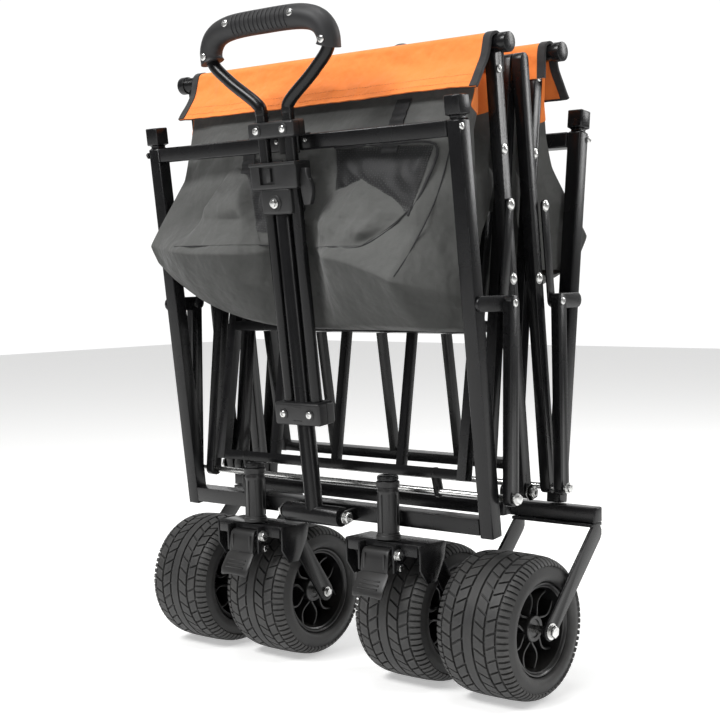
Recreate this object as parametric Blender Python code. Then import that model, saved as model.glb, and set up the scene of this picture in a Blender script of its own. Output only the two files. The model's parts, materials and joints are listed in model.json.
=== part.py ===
"""Folding beach wagon, modelled in its folded state, in metres with +Z up.

X runs across the cart, the front (the handle side) faces -Y, and the floor is z = 0.
Sizes are driven by the constants below. Every moving group hangs from an empty on its joint's
axis, and the meshes are written in the cart's own coordinates, whose y = 0 is the plane
between the two end frames. At the end the whole cart is centred over the origin.
"""

import math

import bmesh
import bpy
from mathutils import Matrix, Vector

# ---------------------------------------------------------------- driving dimensions
GAP = 0.0003  # between two pieces that touch
PLAY = 0.0005  # radial play of a pin in its hole

# end frames
TRACK = 0.487  # between post centres, across the cart
POST = 0.019  # square tube of posts and rails
POST_LENGTH = 0.477
POST_FOOT_Y = 0.068  # post centre at its foot, from the middle plane
POST_BELOW_RAIL = 0.013
LEAN = math.radians(6.7)  # outward lean of both end frames
UPPER_RAIL_DROP = 0.0088  # upper rail's centre below the post's top, along the post
BASE_RAIL_RISE = 0.0235  # base rails' centre above the kingpin sleeves' foot
REAR_RAIL_OVERHANG = 0.0025  # rear base rail beyond the outer wheel arm
EDGE = 0.0016  # corner bevel of the square tubes
CAP_HEIGHT = 0.022
CAP_SIZE = 0.021
CAP_NECK = 0.005
CAP_NECK_SIZE = 0.014

# scissor linkage
PIVOT_RISE = 0.032  # lower pivots above the base rails' centre
PIVOT_INSET = 0.0195  # lower end pivot, inboard of its post's centre line
BAR_LENGTH = 0.508  # between end pivots
BAR_WIDTH = 0.016
BAR_THICK = 0.013
BAR_CLEAR = 0.002  # between the two layers of bars
LAYER_INSET = 0.004  # outer face of the outer layer, inside the posts' outer face
PIN_R = 0.004
ROD_R = 0.0095
ROD_REACH = 0.0125  # rod centre beyond the bar's top pivot
ROD_OVERHANG = 0.017  # rod's end beyond the outer layer
ROD_CAP_R = 0.0115
ROD_CAP = 0.011
LINK_THICK = 0.003
LINK_WIDTH = 0.014
STRUT_THICK = 0.010
STRUT_WIDTH = 0.018
STRUT_RISE = 0.225  # strut's top bolt above the lower pivots
STRUT_TOP_INSET = 0.050  # strut's top bolt, inboard of the post's centre line
LUG_THICK = 0.0034
SUPPORT_DROP = 0.022  # centre support's tube below its pivots
SUPPORT_TUBE = 0.016
SUPPORT_EAR = 0.005

# folding floor
FLOOR_HALF = 0.350  # between its two hinge axes
FLOOR_TUBE = 0.012  # cross tubes
FLOOR_SIDE_TUBE = 0.013
FLOOR_OFFSET = 0.0095  # tube centres off the line through the hinge axes
FLOOR_SIDE_GAP = 0.0075  # between the grille and the centre support's ears
FLOOR_SLAT_PITCH = 0.105
FLOOR_SLAT = 0.010
FLOOR_ENDS = 0.022  # end tubes, from the hinge axes
FLOOR_MID = 0.195  # middle cross tube, from the lower hinge axis
FLOOR_EAR = 0.004

# wheels
WHEEL_D = 0.172
WHEEL_WIDTH = 0.104
RIM_D = 0.112
REAR_WHEEL_Y = -0.032
NEST_GAP = 0.011  # between the axle heads of a caster and of the rear wheel beside it
SLEEVE_STANDOFF = 0.002
CASTER_TRAIL = 0.071
TYRE_SEGMENTS = 32
BEAD_SHARE = 0.86  # of the tyre's width
RIM_SEGMENTS = 24
RIM_WALL = 0.005
SPOKES = 5
SPOKE = 0.008
SPOKE_SHARE = 0.72  # of the rim's width
AXLE_R = 0.005
AXLE_HEAD_R = 0.009
AXLE_HEAD = 0.003
HUB_R = 0.019
WHEEL_PLAY = 0.0015
ARM_THICK = 0.004
ARM_WIDTH = 0.024
SLEEVE_R = 0.012
SLEEVE_LENGTH = 0.0695
SLEEVE_SEAT = 0.002  # between the fork's plate and the sleeve
KINGPIN_R = 0.0055
KINGPIN_HEAD = 0.0045
FORK_ROOM = 0.0065  # between the tyre and the fork's plate
FORK_PLATE = 0.004
PEDAL_HALF = 0.024
PEDAL_DROP = 0.050
PEDAL_REACH = 0.026
PEDAL_THICK = 0.006
PEDAL_AXIS_DROP = 0.008

# pull handle
HANDLE_OFF = 0.032  # handle's plane in front of the frame's plane
HINGE_DROP = 0.003  # handle's hinge below the base rail's centre
HINGE_R = 0.0125
HINGE_HALF = 0.045
BRACKET = 0.005
CORE_R = 0.011  # fixed centre tube
LEG_R = 0.0075
LEG_GAP = 0.003  # between the centre tube and each leg
LOCK_FOOT = 0.372  # distances along the handle from its hinge
LOCK_LENGTH = 0.062
LOWER_CLAMP = 0.115
CLAMP_LENGTH = 0.028
UPPER_CLAMP = 0.462
CLAMP_WALL = 0.008  # beside the legs
CLAMP_SKIN = 0.004  # in front of the centre tube
BRACE_LENGTH = 0.0196
BRACE_DEPTH = 0.024
COLLAR = 0.0186  # centre tube's length inside the lock
GRIP_HALF = 0.094
GRIP_TOP = 0.598
GRIP_SHOULDER = 0.040
GRIP_R = 0.0145
CLIP_HALF = 0.016
CLIP_THICK = 0.005
LEVER_LENGTH = 0.020
LEVER_HALF = 0.0217
LEVER_FRONT = 0.010  # its hinge, in front of the handle's plane
LEVER_DEPTH = 0.016

# bag
BAG_SIDE_GAP = 0.003
BAG_ROD_GAP = 0.006
BAG_FOOT_RISE = 0.192  # folded bag's foot above the lower pivots
BAG_BULGE = 0.158  # outermost y of the folded bag
BAG_RAIL_GAP = 0.007
BAG_MOUTH = 0.066  # y under the rods
BAG_RECESS = 0.078  # y behind the handle
BAG_RECESS_HALF = 0.060
BAG_CORE_FOOT = 0.074  # inner face at its foot, outside the folded floor
BAG_CORE_TOP = 0.024
BAG_THINNEST = 0.004
BAG_ROWS = 9
BAG_COLUMNS = 13

# ---------------------------------------------------------------- values that follow
HALF_TRACK = TRACK / 2
SIN_LEAN = math.sin(LEAN)
COS_LEAN = math.cos(LEAN)
WHEEL_R = WHEEL_D / 2
FORK_PLATE_Z = WHEEL_D + FORK_ROOM
SLEEVE_FOOT = FORK_PLATE_Z + FORK_PLATE + SLEEVE_SEAT
SLEEVE_TOP = SLEEVE_FOOT + SLEEVE_LENGTH
BASE_RAIL_Z = SLEEVE_FOOT + BASE_RAIL_RISE
POST_FOOT_Z = BASE_RAIL_Z - POST_BELOW_RAIL
UPPER_RAIL_Z = POST_FOOT_Z + (POST_LENGTH - UPPER_RAIL_DROP) * COS_LEAN
PIVOT_Z = BASE_RAIL_Z + PIVOT_RISE
STRUT_TOP_Z = PIVOT_Z + STRUT_RISE
HINGE_Z = BASE_RAIL_Z - HINGE_DROP
OUTER_LAYER_X = HALF_TRACK + POST / 2 - LAYER_INSET
OUTER_LAYER = (OUTER_LAYER_X - BAR_THICK, OUTER_LAYER_X)
INNER_LAYER = (OUTER_LAYER[0] - BAR_CLEAR - BAR_THICK, OUTER_LAYER[0] - BAR_CLEAR)
EAR_X = (INNER_LAYER[0] - BAR_CLEAR - SUPPORT_EAR, INNER_LAYER[0] - BAR_CLEAR)
ROD_HALF = OUTER_LAYER_X + ROD_OVERHANG
FLOOR_SIDE_X = EAR_X[0] - FLOOR_SIDE_GAP - FLOOR_SIDE_TUBE / 2
LEG_X = CORE_R + LEG_R + LEG_GAP
CLAMP_HALF = LEG_X + LEG_R + CLAMP_WALL
CLAMP_DEPTH = CORE_R + CLAMP_SKIN
FORK_REACH = WHEEL_WIDTH / 2 + WHEEL_PLAY + ARM_THICK
REAR_WHEEL_X = HALF_TRACK
CASTER_X = REAR_WHEEL_X - 2 * (FORK_REACH + GAP + AXLE_HEAD) - NEST_GAP


def post_y(z):
    """Distance of a post's centre line from the middle plane at height z."""
    return POST_FOOT_Y + (z - POST_FOOT_Z) * math.tan(LEAN)


CASTER_Y = -(post_y(BASE_RAIL_Z) + POST / 2 + SLEEVE_STANDOFF + SLEEVE_R)  # kingpin
PIVOT_Y = post_y(PIVOT_Z) - PIVOT_INSET
TOP_PIVOT_Z = PIVOT_Z + math.sqrt(BAR_LENGTH**2 - PIVOT_Y**2)
STRUT_TOP_Y = post_y(STRUT_TOP_Z) - STRUT_TOP_INSET
FOLDED = math.asin(PIVOT_Y / BAR_LENGTH)
OPENED = math.asin(FLOOR_HALF / BAR_LENGTH)
FLOOR_RISE = math.sqrt(FLOOR_HALF**2 - PIVOT_Y**2)
HINGE_Y = -post_y(HINGE_Z) - HANDLE_OFF / COS_LEAN
ROD_Y = PIVOT_Y + ROD_REACH * math.sin(FOLDED)
ROD_Z = TOP_PIVOT_Z + ROD_REACH * math.cos(FOLDED)
BAG_HALF = EAR_X[0] - BAG_SIDE_GAP
BAG_TOP = ROD_Z - ROD_R - BAG_ROD_GAP
BAG_FOOT = PIVOT_Z + BAG_FOOT_RISE
BAG_WAIST = post_y(UPPER_RAIL_Z) - POST / 2 - BAG_RAIL_GAP  # y at the upper rail


def link_point():
    """Distance along a hoop bar, from its foot, where the link's length is the same folded and open."""
    shift = FLOOR_HALF - PIVOT_Y
    rise = STRUT_TOP_Z - PIVOT_Z
    folded = math.sin(FOLDED) * STRUT_TOP_Y + math.cos(FOLDED) * rise
    opened = math.sin(OPENED) * (STRUT_TOP_Y + shift) + math.cos(OPENED) * rise
    return ((STRUT_TOP_Y + shift) ** 2 - STRUT_TOP_Y**2) / (2 * (opened - folded))


LINK_AT = link_point()
LINK_END_Y = LINK_AT * math.sin(FOLDED)
LINK_END_Z = PIVOT_Z + LINK_AT * math.cos(FOLDED)


# ---------------------------------------------------------------- scene and materials
def clear_scene():
    for thing in list(bpy.data.objects):
        bpy.data.objects.remove(thing, do_unlink=True)


def finish(name, colour, roughness, metallic=0.0):
    made = bpy.data.materials.new(name)
    made.use_nodes = True
    shader = made.node_tree.nodes["Principled BSDF"]
    shader.inputs["Base Color"].default_value = (*colour, 1.0)
    shader.inputs["Roughness"].default_value = roughness
    shader.inputs["Metallic"].default_value = metallic
    return made


clear_scene()
POWDER = finish("black powder coat", (0.018, 0.018, 0.020), 0.32)
ZINC = finish("bright zinc", (0.62, 0.62, 0.62), 0.28, 1.0)
PLASTIC = finish("black moulded plastic", (0.022, 0.022, 0.024), 0.45)
TREAD = finish("charcoal tyre", (0.035, 0.035, 0.036), 0.85)
RIM = finish("black wheel plastic", (0.015, 0.015, 0.016), 0.38)
GRIP = finish("soft grip", (0.030, 0.031, 0.033), 0.70)
CLOTH = finish("dark grey canvas", (0.085, 0.087, 0.085), 0.90)


# ---------------------------------------------------------------- bodies and objects
BODY_POINTS = {}


def axis(name, point, parent=None):
    """An empty on a joint's axis. Its children's meshes are kept relative to it."""
    empty = bpy.data.objects.new(name + "_axis", None)
    bpy.context.scene.collection.objects.link(empty)
    point = Vector(point)
    empty.location = point
    if parent:
        empty.parent = parent
        empty.location -= BODY_POINTS[parent.name]
    BODY_POINTS[empty.name] = point
    return empty


def link_object(name, shape, body, material, smooth=30.0, helper=False):
    """Makes an object of a bmesh, moves its origin to the body's axis and hangs it there."""
    shape.transform(Matrix.Translation(-BODY_POINTS[body.name]))
    bmesh.ops.recalc_face_normals(shape, faces=shape.faces)
    mesh = bpy.data.meshes.new(name)
    shape.to_mesh(mesh)
    shape.free()
    if smooth:
        mesh.shade_smooth()
        mesh.set_sharp_from_angle(angle=math.radians(smooth))
    made = bpy.data.objects.new(name, mesh)
    bpy.context.scene.collection.objects.link(made)
    made.parent = body
    mesh.materials.append(material)
    if helper:
        made.hide_render = True
        made.display_type = "WIRE"
    return made


def part(name, body, material, shape, add=(), cut=(), bevel=0.0):
    """One piece: a first shape, with others united to it and cut from it."""
    made = link_object(name, shape, body, material)
    if bevel:
        edges = made.modifiers.new("edges", "BEVEL")
        edges.width = bevel
        edges.segments = 1
        edges.limit_method = "ANGLE"
        edges.angle_limit = math.radians(50)
    for operation, shapes in (("UNION", add), ("DIFFERENCE", cut)):
        for number, other in enumerate(shapes, 1):
            label = f"{name}_{operation.lower()}_{number}"
            tool = link_object(label, other, body, material, helper=True)
            step = made.modifiers.new(label, "BOOLEAN")
            step.operation = operation
            step.object = tool
    return made


# ---------------------------------------------------------------- shapes
def loft(rings, closed=False):
    """A closed shape through rings of equal length; the ends are capped unless it closes on itself."""
    shape = bmesh.new()
    rows = [[shape.verts.new(point) for point in ring] for ring in rings]
    pairs = list(zip(rows, rows[1:] + rows[:1])) if closed else list(zip(rows, rows[1:]))
    for low, high in pairs:
        for i in range(len(low)):
            j = (i + 1) % len(low)
            shape.faces.new((low[i], low[j], high[j], high[i]))
    if not closed:
        shape.faces.new(rows[0][::-1])
        shape.faces.new(rows[-1])
    return shape


def prism_x(outline, low, high):
    """An outline of (y, z) points, drawn out along X."""
    return loft([[(x, y, z) for y, z in outline] for x in (low, high)])


def prism_z(outline, low, high):
    """An outline of (x, y) points, drawn out along Z."""
    return loft([[(x, y, z) for x, y in outline] for z in (low, high)])


def block(low, high):
    (x0, y0, z0), (x1, y1, z1) = low, high
    return prism_x([(y0, z0), (y1, z0), (y1, z1), (y0, z1)], x0, x1)


def circle(y, z, radius, count=16, turn=0.0):
    steps = (turn + 2 * math.pi * i / count for i in range(count))
    return [(y + radius * math.cos(t), z + radius * math.sin(t)) for t in steps]


def slot(start, end, radius, count=6):
    """A bar's outline with round ends, from one (y, z) pivot to the other."""
    along = math.atan2(end[1] - start[1], end[0] - start[0])
    points = []
    for (y, z), turn in ((end, -math.pi / 2), (start, math.pi / 2)):
        for i in range(count + 1):
            t = along + turn + math.pi * i / count
            points.append((y + radius * math.cos(t), z + radius * math.sin(t)))
    return points


def tilted_square(y, z, size, turn):
    half = size / 2
    corners = ((-half, -half), (half, -half), (half, half), (-half, half))
    c, s = math.cos(turn), math.sin(turn)
    return [(y + a * c + b * s, z - a * s + b * c) for a, b in corners]


def cylinder_x(x0, x1, y, z, radius, count=16):
    return prism_x(circle(y, z, radius, count), x0, x1)


def cylinder_z(x, y, z0, z1, radius, count=16):
    return prism_z(circle(x, y, radius, count), z0, z1)


def ordered(first, second):
    return (first, second) if first < second else (second, first)


# ---------------------------------------------------------------- joint axes, as a tree
SUPPORT = axis("centre_support", (0, 0, PIVOT_Z))
ENDS = {"front": -1, "rear": 1}
SIDES = {"left": -1, "right": 1}
HOOP, CROSS, FRAME, LINKS = {}, {}, {}, {}
for end, e in ENDS.items():
    mid = (PIVOT_Z + TOP_PIVOT_Z) / 2
    HOOP[end] = axis(f"{end}_hoop", (0, 0, PIVOT_Z), SUPPORT)
    CROSS[end] = axis(f"{end}_cross", (0, e * PIVOT_Y / 2, mid), HOOP[end])
    FRAME[end] = axis(f"{end}_frame", (0, e * PIVOT_Y, PIVOT_Z), CROSS[end])
    LINKS[end] = axis(f"{end}_links", (0, e * STRUT_TOP_Y, STRUT_TOP_Z), FRAME[end])
FLOOR_FRONT = axis("floor_front", (0, -PIVOT_Y, PIVOT_Z), FRAME["front"])
FLOOR_REAR = axis("floor_rear", (0, 0, PIVOT_Z + FLOOR_RISE), FLOOR_FRONT)
BAG_FRONT = axis("bag_front", (0, -BAG_MOUTH, BAG_TOP), SUPPORT)
BAG_REAR = axis("bag_rear", (0, BAG_MOUTH, BAG_TOP), BAG_FRONT)
HANDLE = axis("handle_base", (0, HINGE_Y, HINGE_Z), FRAME["front"])


def on_handle(along, out=0.0):
    """(y, z) at a distance along the handle from its hinge, and out in front of it."""
    return (
        HINGE_Y - along * SIN_LEAN - out * COS_LEAN,
        HINGE_Z + along * COS_LEAN - out * SIN_LEAN,
    )


SLIDER = axis("handle_slide", (0, *on_handle(UPPER_CLAMP)), HANDLE)
LEVER_X = CLAMP_HALF + GAP * 2
LEVER = axis(
    "lock_lever", (LEVER_X, *on_handle(LOCK_FOOT + LOCK_LENGTH / 2, LEVER_FRONT)), HANDLE
)


# ---------------------------------------------------------------- centre support and scissor bars
def centre_support():
    tube_z = PIVOT_Z - SUPPORT_DROP
    half = SUPPORT_TUBE / 2
    add = []
    for s in SIDES.values():
        ends = ordered(s * EAR_X[0], s * EAR_X[1])
        add.append(prism_x(slot((0, tube_z), (0, PIVOT_Z), BAR_WIDTH / 2), *ends))
        pin = ordered(s * EAR_X[0], s * (OUTER_LAYER[1] + PIN_R))
        add.append(cylinder_x(*pin, 0, PIVOT_Z, PIN_R, 12))
    tube = block((-EAR_X[1], -half, tube_z - half), (EAR_X[1], half, tube_z + half))
    part("centre_support", SUPPORT, POWDER, tube, add=add)


def pivot_hole(layer, s, y, z, radius=PIN_R):
    low, high = ordered(s * (layer[0] - GAP * 4), s * (layer[1] + GAP * 4))
    return cylinder_x(low, high, y, z, radius + PLAY, 12)


def hoop(end):
    """The two bars that run from the middle's foot to the end's top, and the rod across them."""
    e = ENDS[end]
    layer = OUTER_LAYER if end == "front" else INNER_LAYER
    top = (e * PIVOT_Y, TOP_PIVOT_Z)
    middle = (e * PIVOT_Y / 2, (PIVOT_Z + TOP_PIVOT_Z) / 2)
    rod_y = e * ROD_Y
    for side, s in SIDES.items():
        low, high = ordered(s * layer[0], s * layer[1])
        bar = prism_x(slot((0, PIVOT_Z), top, BAR_WIDTH / 2), low, high)
        add = []
        cut = [pivot_hole(layer, s, 0, PIVOT_Z)]
        if end == "front":
            pin = ordered(s * (INNER_LAYER[0] - BAR_CLEAR), s * layer[0] + s * BAR_CLEAR)
            add.append(cylinder_x(*pin, *middle, PIN_R, 12))
        else:
            cut.append(pivot_hole(layer, s, *middle))
        cut.append(cylinder_x(low - GAP, high + GAP, rod_y, ROD_Z, ROD_R + GAP, 20))
        part(f"{end}_hoop_bar_{side}", HOOP[end], POWDER, bar, add=add, cut=cut)
    stations = []
    for x, radius in (
        (-ROD_HALF, ROD_CAP_R),
        (ROD_CAP - ROD_HALF, ROD_CAP_R),
        (ROD_CAP - ROD_HALF, ROD_R),
        (ROD_HALF - ROD_CAP, ROD_R),
        (ROD_HALF - ROD_CAP, ROD_CAP_R),
        (ROD_HALF, ROD_CAP_R),
    ):
        stations.append([(x, y, z) for y, z in circle(rod_y, ROD_Z, radius, 20)])
    part(f"{end}_top_rod", HOOP[end], POWDER, loft(stations))


def cross(end):
    """The two bars that run from the middle's top to the end's foot."""
    e = ENDS[end]
    layer = INNER_LAYER if end == "front" else OUTER_LAYER
    foot = (e * PIVOT_Y, PIVOT_Z)
    middle = (e * PIVOT_Y / 2, (PIVOT_Z + TOP_PIVOT_Z) / 2)
    for side, s in SIDES.items():
        low, high = ordered(s * layer[0], s * layer[1])
        bar = prism_x(slot(foot, (0, TOP_PIVOT_Z), BAR_WIDTH / 2), low, high)
        add = []
        cut = [pivot_hole(layer, s, *foot)]
        if end == "rear":
            reach = (INNER_LAYER[0] - BAR_CLEAR, layer[0] + BAR_CLEAR)
            pin = ordered(s * reach[0], s * reach[1])
            add.append(cylinder_x(*pin, *middle, PIN_R, 12))
            add.append(cylinder_x(*pin, 0, TOP_PIVOT_Z, PIN_R, 12))
        else:
            cut.append(pivot_hole(layer, s, *middle))
            cut.append(pivot_hole(layer, s, 0, TOP_PIVOT_Z))
        part(f"{end}_cross_bar_{side}", CROSS[end], POWDER, bar, add=add, cut=cut)


def links(end):
    """The short links that hold a hoop's bars to the posts' lugs."""
    e = ENDS[end]
    for side, s in SIDES.items():
        inner = OUTER_LAYER[1] + GAP * 2
        ends = ordered(s * inner, s * (inner + LINK_THICK))
        outline = slot(
            (e * STRUT_TOP_Y, STRUT_TOP_Z), (e * LINK_END_Y, LINK_END_Z), LINK_WIDTH / 2
        )
        part(f"{end}_link_{side}", LINKS[end], POWDER, prism_x(outline, *ends))


# ---------------------------------------------------------------- end frames
def post(end, side):
    """A leaning square tube with its plastic cap on a narrower neck."""
    e, s = ENDS[end], SIDES[side]
    foot = 0.0
    if end == "rear":
        foot = (BASE_RAIL_Z + POST / 2 + GAP * 4 - POST_FOOT_Z) / COS_LEAN
    stations = (
        (foot, POST),
        (POST_LENGTH, POST),
        (POST_LENGTH, CAP_NECK_SIZE),
        (POST_LENGTH + CAP_NECK, CAP_NECK_SIZE),
        (POST_LENGTH + CAP_NECK, CAP_SIZE),
        (POST_LENGTH + CAP_NECK + CAP_HEIGHT, CAP_SIZE),
    )
    rings = []
    for along, size in stations:
        y = POST_FOOT_Y + along * SIN_LEAN
        z = POST_FOOT_Z + along * COS_LEAN
        half = size / 2
        ring = []
        for a, b in ((-half, -half), (half, -half), (half, half), (-half, half)):
            ring.append((s * HALF_TRACK + a, e * (y + b * COS_LEAN), z - b * SIN_LEAN))
        rings.append(ring)
    part(f"{end}_post_{side}", FRAME[end], POWDER, loft(rings), bevel=EDGE)


def upper_rail(end):
    e = ENDS[end]
    half = HALF_TRACK - POST / 2 - GAP
    square = tilted_square(e * post_y(UPPER_RAIL_Z), UPPER_RAIL_Z, POST, e * LEAN)
    part(f"{end}_upper_rail", FRAME[end], POWDER, prism_x(square, -half, half), bevel=EDGE)


def front_base_rail():
    """Base rail with the kingpin sleeves and the handle's bracket welded to it."""
    half = HALF_TRACK - POST / 2 - GAP
    rail_y = -post_y(BASE_RAIL_Z)
    rail = prism_x(tilted_square(rail_y, BASE_RAIL_Z, POST, -LEAN), -half, half)
    add = []
    cut = []
    weld = POST / 2 - BRACKET / 2
    for s in SIDES.values():
        x = s * CASTER_X
        add.append(cylinder_z(x, CASTER_Y, SLEEVE_FOOT, SLEEVE_TOP, SLEEVE_R, 20))
        seat = SLEEVE_R * 0.8
        add.append(
            block(
                (x - seat, CASTER_Y, BASE_RAIL_Z - weld),
                (x + seat, rail_y, BASE_RAIL_Z + weld),
            )
        )
        reach = (SLEEVE_FOOT - GAP, SLEEVE_TOP + GAP)
        cut.append(cylinder_z(x, CASTER_Y, *reach, KINGPIN_R + PLAY, 16))
        ear = ordered(s * (HINGE_HALF + GAP * 2), s * (HINGE_HALF + GAP * 2 + BRACKET))
        outline = slot((HINGE_Y, HINGE_Z), (rail_y, BASE_RAIL_Z), weld)
        add.append(prism_x(outline, *ear))
    part("front_base_rail", FRAME["front"], POWDER, rail, add=add, cut=cut)


def rear_base_rail():
    half = REAR_WHEEL_X + FORK_REACH + REAR_RAIL_OVERHANG
    rail = prism_x(tilted_square(post_y(BASE_RAIL_Z), BASE_RAIL_Z, POST, 0), -half, half)
    part("rear_base_rail", FRAME["rear"], POWDER, rail, bevel=EDGE)


def struts(end):
    """Braces outside the posts, from the middle lugs down to the hinge rod."""
    e = ENDS[end]
    inner = HALF_TRACK + POST / 2 + GAP
    for side, s in SIDES.items():
        lug = ordered(s * inner, s * (inner + LUG_THICK))
        arm = ordered(s * (inner + LUG_THICK - GAP), s * (inner + LUG_THICK + STRUT_THICK))
        top = (e * STRUT_TOP_Y, STRUT_TOP_Z)
        foot = (e * PIVOT_Y, PIVOT_Z)
        bar = prism_x(slot(foot, top, STRUT_WIDTH / 2), *arm)
        plate = slot(top, (e * post_y(STRUT_TOP_Z), STRUT_TOP_Z), STRUT_WIDTH / 2)
        bore = ordered(s * (inner - GAP), s * (inner + LUG_THICK + STRUT_THICK + GAP))
        part(
            f"{end}_strut_{side}",
            FRAME[end],
            POWDER,
            bar,
            add=[prism_x(plate, *lug)],
            cut=[cylinder_x(*bore, *foot, PIN_R + GAP, 12)],
        )
    reach = inner + LUG_THICK + STRUT_THICK + PIN_R
    rod = cylinder_x(-reach, reach, e * PIVOT_Y, PIVOT_Z, PIN_R, 16)
    part(f"{end}_hinge_rod", FRAME[end], ZINC, rod)


# ---------------------------------------------------------------- folding floor
def floor_half(end, body):
    """A grille of tubes in a plane beside the line through its two hinge axes."""
    e = ENDS[end]
    lean = math.asin(PIVOT_Y / FLOOR_HALF)
    c, s = math.cos(lean), math.sin(lean)

    def place(along, out):
        return (e * (PIVOT_Y - along * s + out * c), PIVOT_Z + along * c + out * s)

    def strip(x0, x1, low, high, size=FLOOR_TUBE, out=FLOOR_OFFSET):
        half = size / 2
        corners = ((low, out - half), (high, out - half), (high, out + half), (low, out + half))
        return prism_x([place(*corner) for corner in corners], x0, x1)

    half = FLOOR_TUBE / 2
    side_half = FLOOR_SIDE_TUBE / 2
    side = FLOOR_SIDE_X + side_half * 0.8
    far = FLOOR_HALF - FLOOR_ENDS
    rail = strip(-side, side, FLOOR_ENDS - half, FLOOR_ENDS + half)
    add = []
    for at in (FLOOR_MID, far):
        add.append(strip(-side, side, at - half, at + half))
    rails = (-FLOOR_SIDE_X, FLOOR_SIDE_X)
    slats = [i * FLOOR_SLAT_PITCH for i in (-1, 0, 1)]
    for x in rails:
        low, high = FLOOR_ENDS - side_half, far + side_half
        add.append(strip(x - side_half, x + side_half, low, high, FLOOR_SIDE_TUBE))
    for x in slats:
        thin = FLOOR_SLAT / 2
        add.append(strip(x - thin, x + thin, FLOOR_ENDS, far, FLOOR_SLAT))
    cut = []
    ear_x = FLOOR_SLAT_PITCH * 1.5
    for s_x in SIDES.values():
        shift = 0 if end == "front" else FLOOR_EAR + GAP * 2
        at = s_x * (ear_x + shift)
        ends = (at - FLOOR_EAR / 2, at + FLOOR_EAR / 2)
        top = place(far, FLOOR_OFFSET)
        add.append(prism_x(slot(place(FLOOR_HALF, 0), top, half * 0.85), *ends))
        if end == "front":
            low = place(FLOOR_ENDS, FLOOR_OFFSET)
            add.append(prism_x(slot(place(0, 0), low, half * 1.15), *ends))
            bore = (ends[0] - GAP, ends[1] + GAP)
            cut.append(cylinder_x(*bore, *place(0, 0), PIN_R + PLAY, 12))
    part(f"{end}_floor_grille", body, POWDER, rail, add=add, cut=cut)


# ---------------------------------------------------------------- wheels
def turned(profile, x, y, z, count):
    """A ring turned about an X axis; the profile's (across, radius) points close on themselves."""
    turn = math.pi / count - math.pi / 2
    rings = []
    for i in range(count):
        t = turn + 2 * math.pi * i / count
        ring = [(x + a, y + r * math.cos(t), z + r * math.sin(t)) for a, r in profile]
        rings.append(ring)
    return loft(rings, closed=True)


def tyre(name, body, x, y):
    half = WHEEL_WIDTH / 2
    flat = WHEEL_R / math.cos(math.pi / TYRE_SEGMENTS)
    bead = RIM_D / 2 + GAP * 2
    profile = (
        (-half * BEAD_SHARE, bead),
        (-half, bead + (flat - bead) * 0.45),
        (-half * 0.93, flat - 0.010),
        (-half * 0.74, flat - 0.002),
        (-half * 0.40, flat),
        (half * 0.40, flat),
        (half * 0.74, flat - 0.002),
        (half * 0.93, flat - 0.010),
        (half, bead + (flat - bead) * 0.45),
        (half * BEAD_SHARE, bead),
    )
    part(name, body, TREAD, turned(profile, x, y, WHEEL_R, TYRE_SEGMENTS))


def rim(name, body, x, y):
    """A barrel with a hub and a spider of spokes, bored for its axle."""
    half = WHEEL_WIDTH / 2 * BEAD_SHARE
    outer = RIM_D / 2
    inner = outer - RIM_WALL
    barrel = turned(
        ((-half, outer), (half, outer), (half, inner), (-half, inner)),
        x,
        y,
        WHEEL_R,
        RIM_SEGMENTS,
    )
    add = [cylinder_x(x - half, x + half, y, WHEEL_R, HUB_R, 20)]
    for i in range(SPOKES):
        t = 2 * math.pi * i / SPOKES
        tip = (outer + inner) / 2
        start = (y + HUB_R * 0.6 * math.cos(t), WHEEL_R + HUB_R * 0.6 * math.sin(t))
        stop = (y + tip * math.cos(t), WHEEL_R + tip * math.sin(t))
        across = (-SPOKE / 2 * math.sin(t), SPOKE / 2 * math.cos(t))
        outline = [
            (start[0] - across[0], start[1] - across[1]),
            (stop[0] - across[0], stop[1] - across[1]),
            (stop[0] + across[0], stop[1] + across[1]),
            (start[0] + across[0], start[1] + across[1]),
        ]
        add.append(prism_x(outline, x - half * SPOKE_SHARE, x + half * SPOKE_SHARE))
    bore = cylinder_x(x - half - GAP, x + half + GAP, y, WHEEL_R, AXLE_R + PLAY, 16)
    part(name, body, RIM, barrel, add=add, cut=[bore])


def wheel_arms(x, y, top_y, top_z):
    """The two plates of a fork, beside the tyre, from the axle up."""
    plates = []
    for s in SIDES.values():
        ends = ordered(x + s * (FORK_REACH - ARM_THICK), x + s * FORK_REACH)
        plates.append(prism_x(slot((y, WHEEL_R), (top_y, top_z), ARM_WIDTH / 2), *ends))
    return plates


def axle(name, body, x, y):
    reach = FORK_REACH + GAP
    stations = []
    for at, radius in (
        (-reach - AXLE_HEAD, AXLE_HEAD_R),
        (-reach, AXLE_HEAD_R),
        (-reach, AXLE_R),
        (reach, AXLE_R),
        (reach, AXLE_HEAD_R),
        (reach + AXLE_HEAD, AXLE_HEAD_R),
    ):
        stations.append([(x + at, a, b) for a, b in circle(y, WHEEL_R, radius, 12)])
    part(name, body, ZINC, loft(stations))


def axle_bore(x, y):
    reach = FORK_REACH + GAP * 2
    return cylinder_x(x - reach, x + reach, y, WHEEL_R, AXLE_R + GAP, 12)


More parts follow.
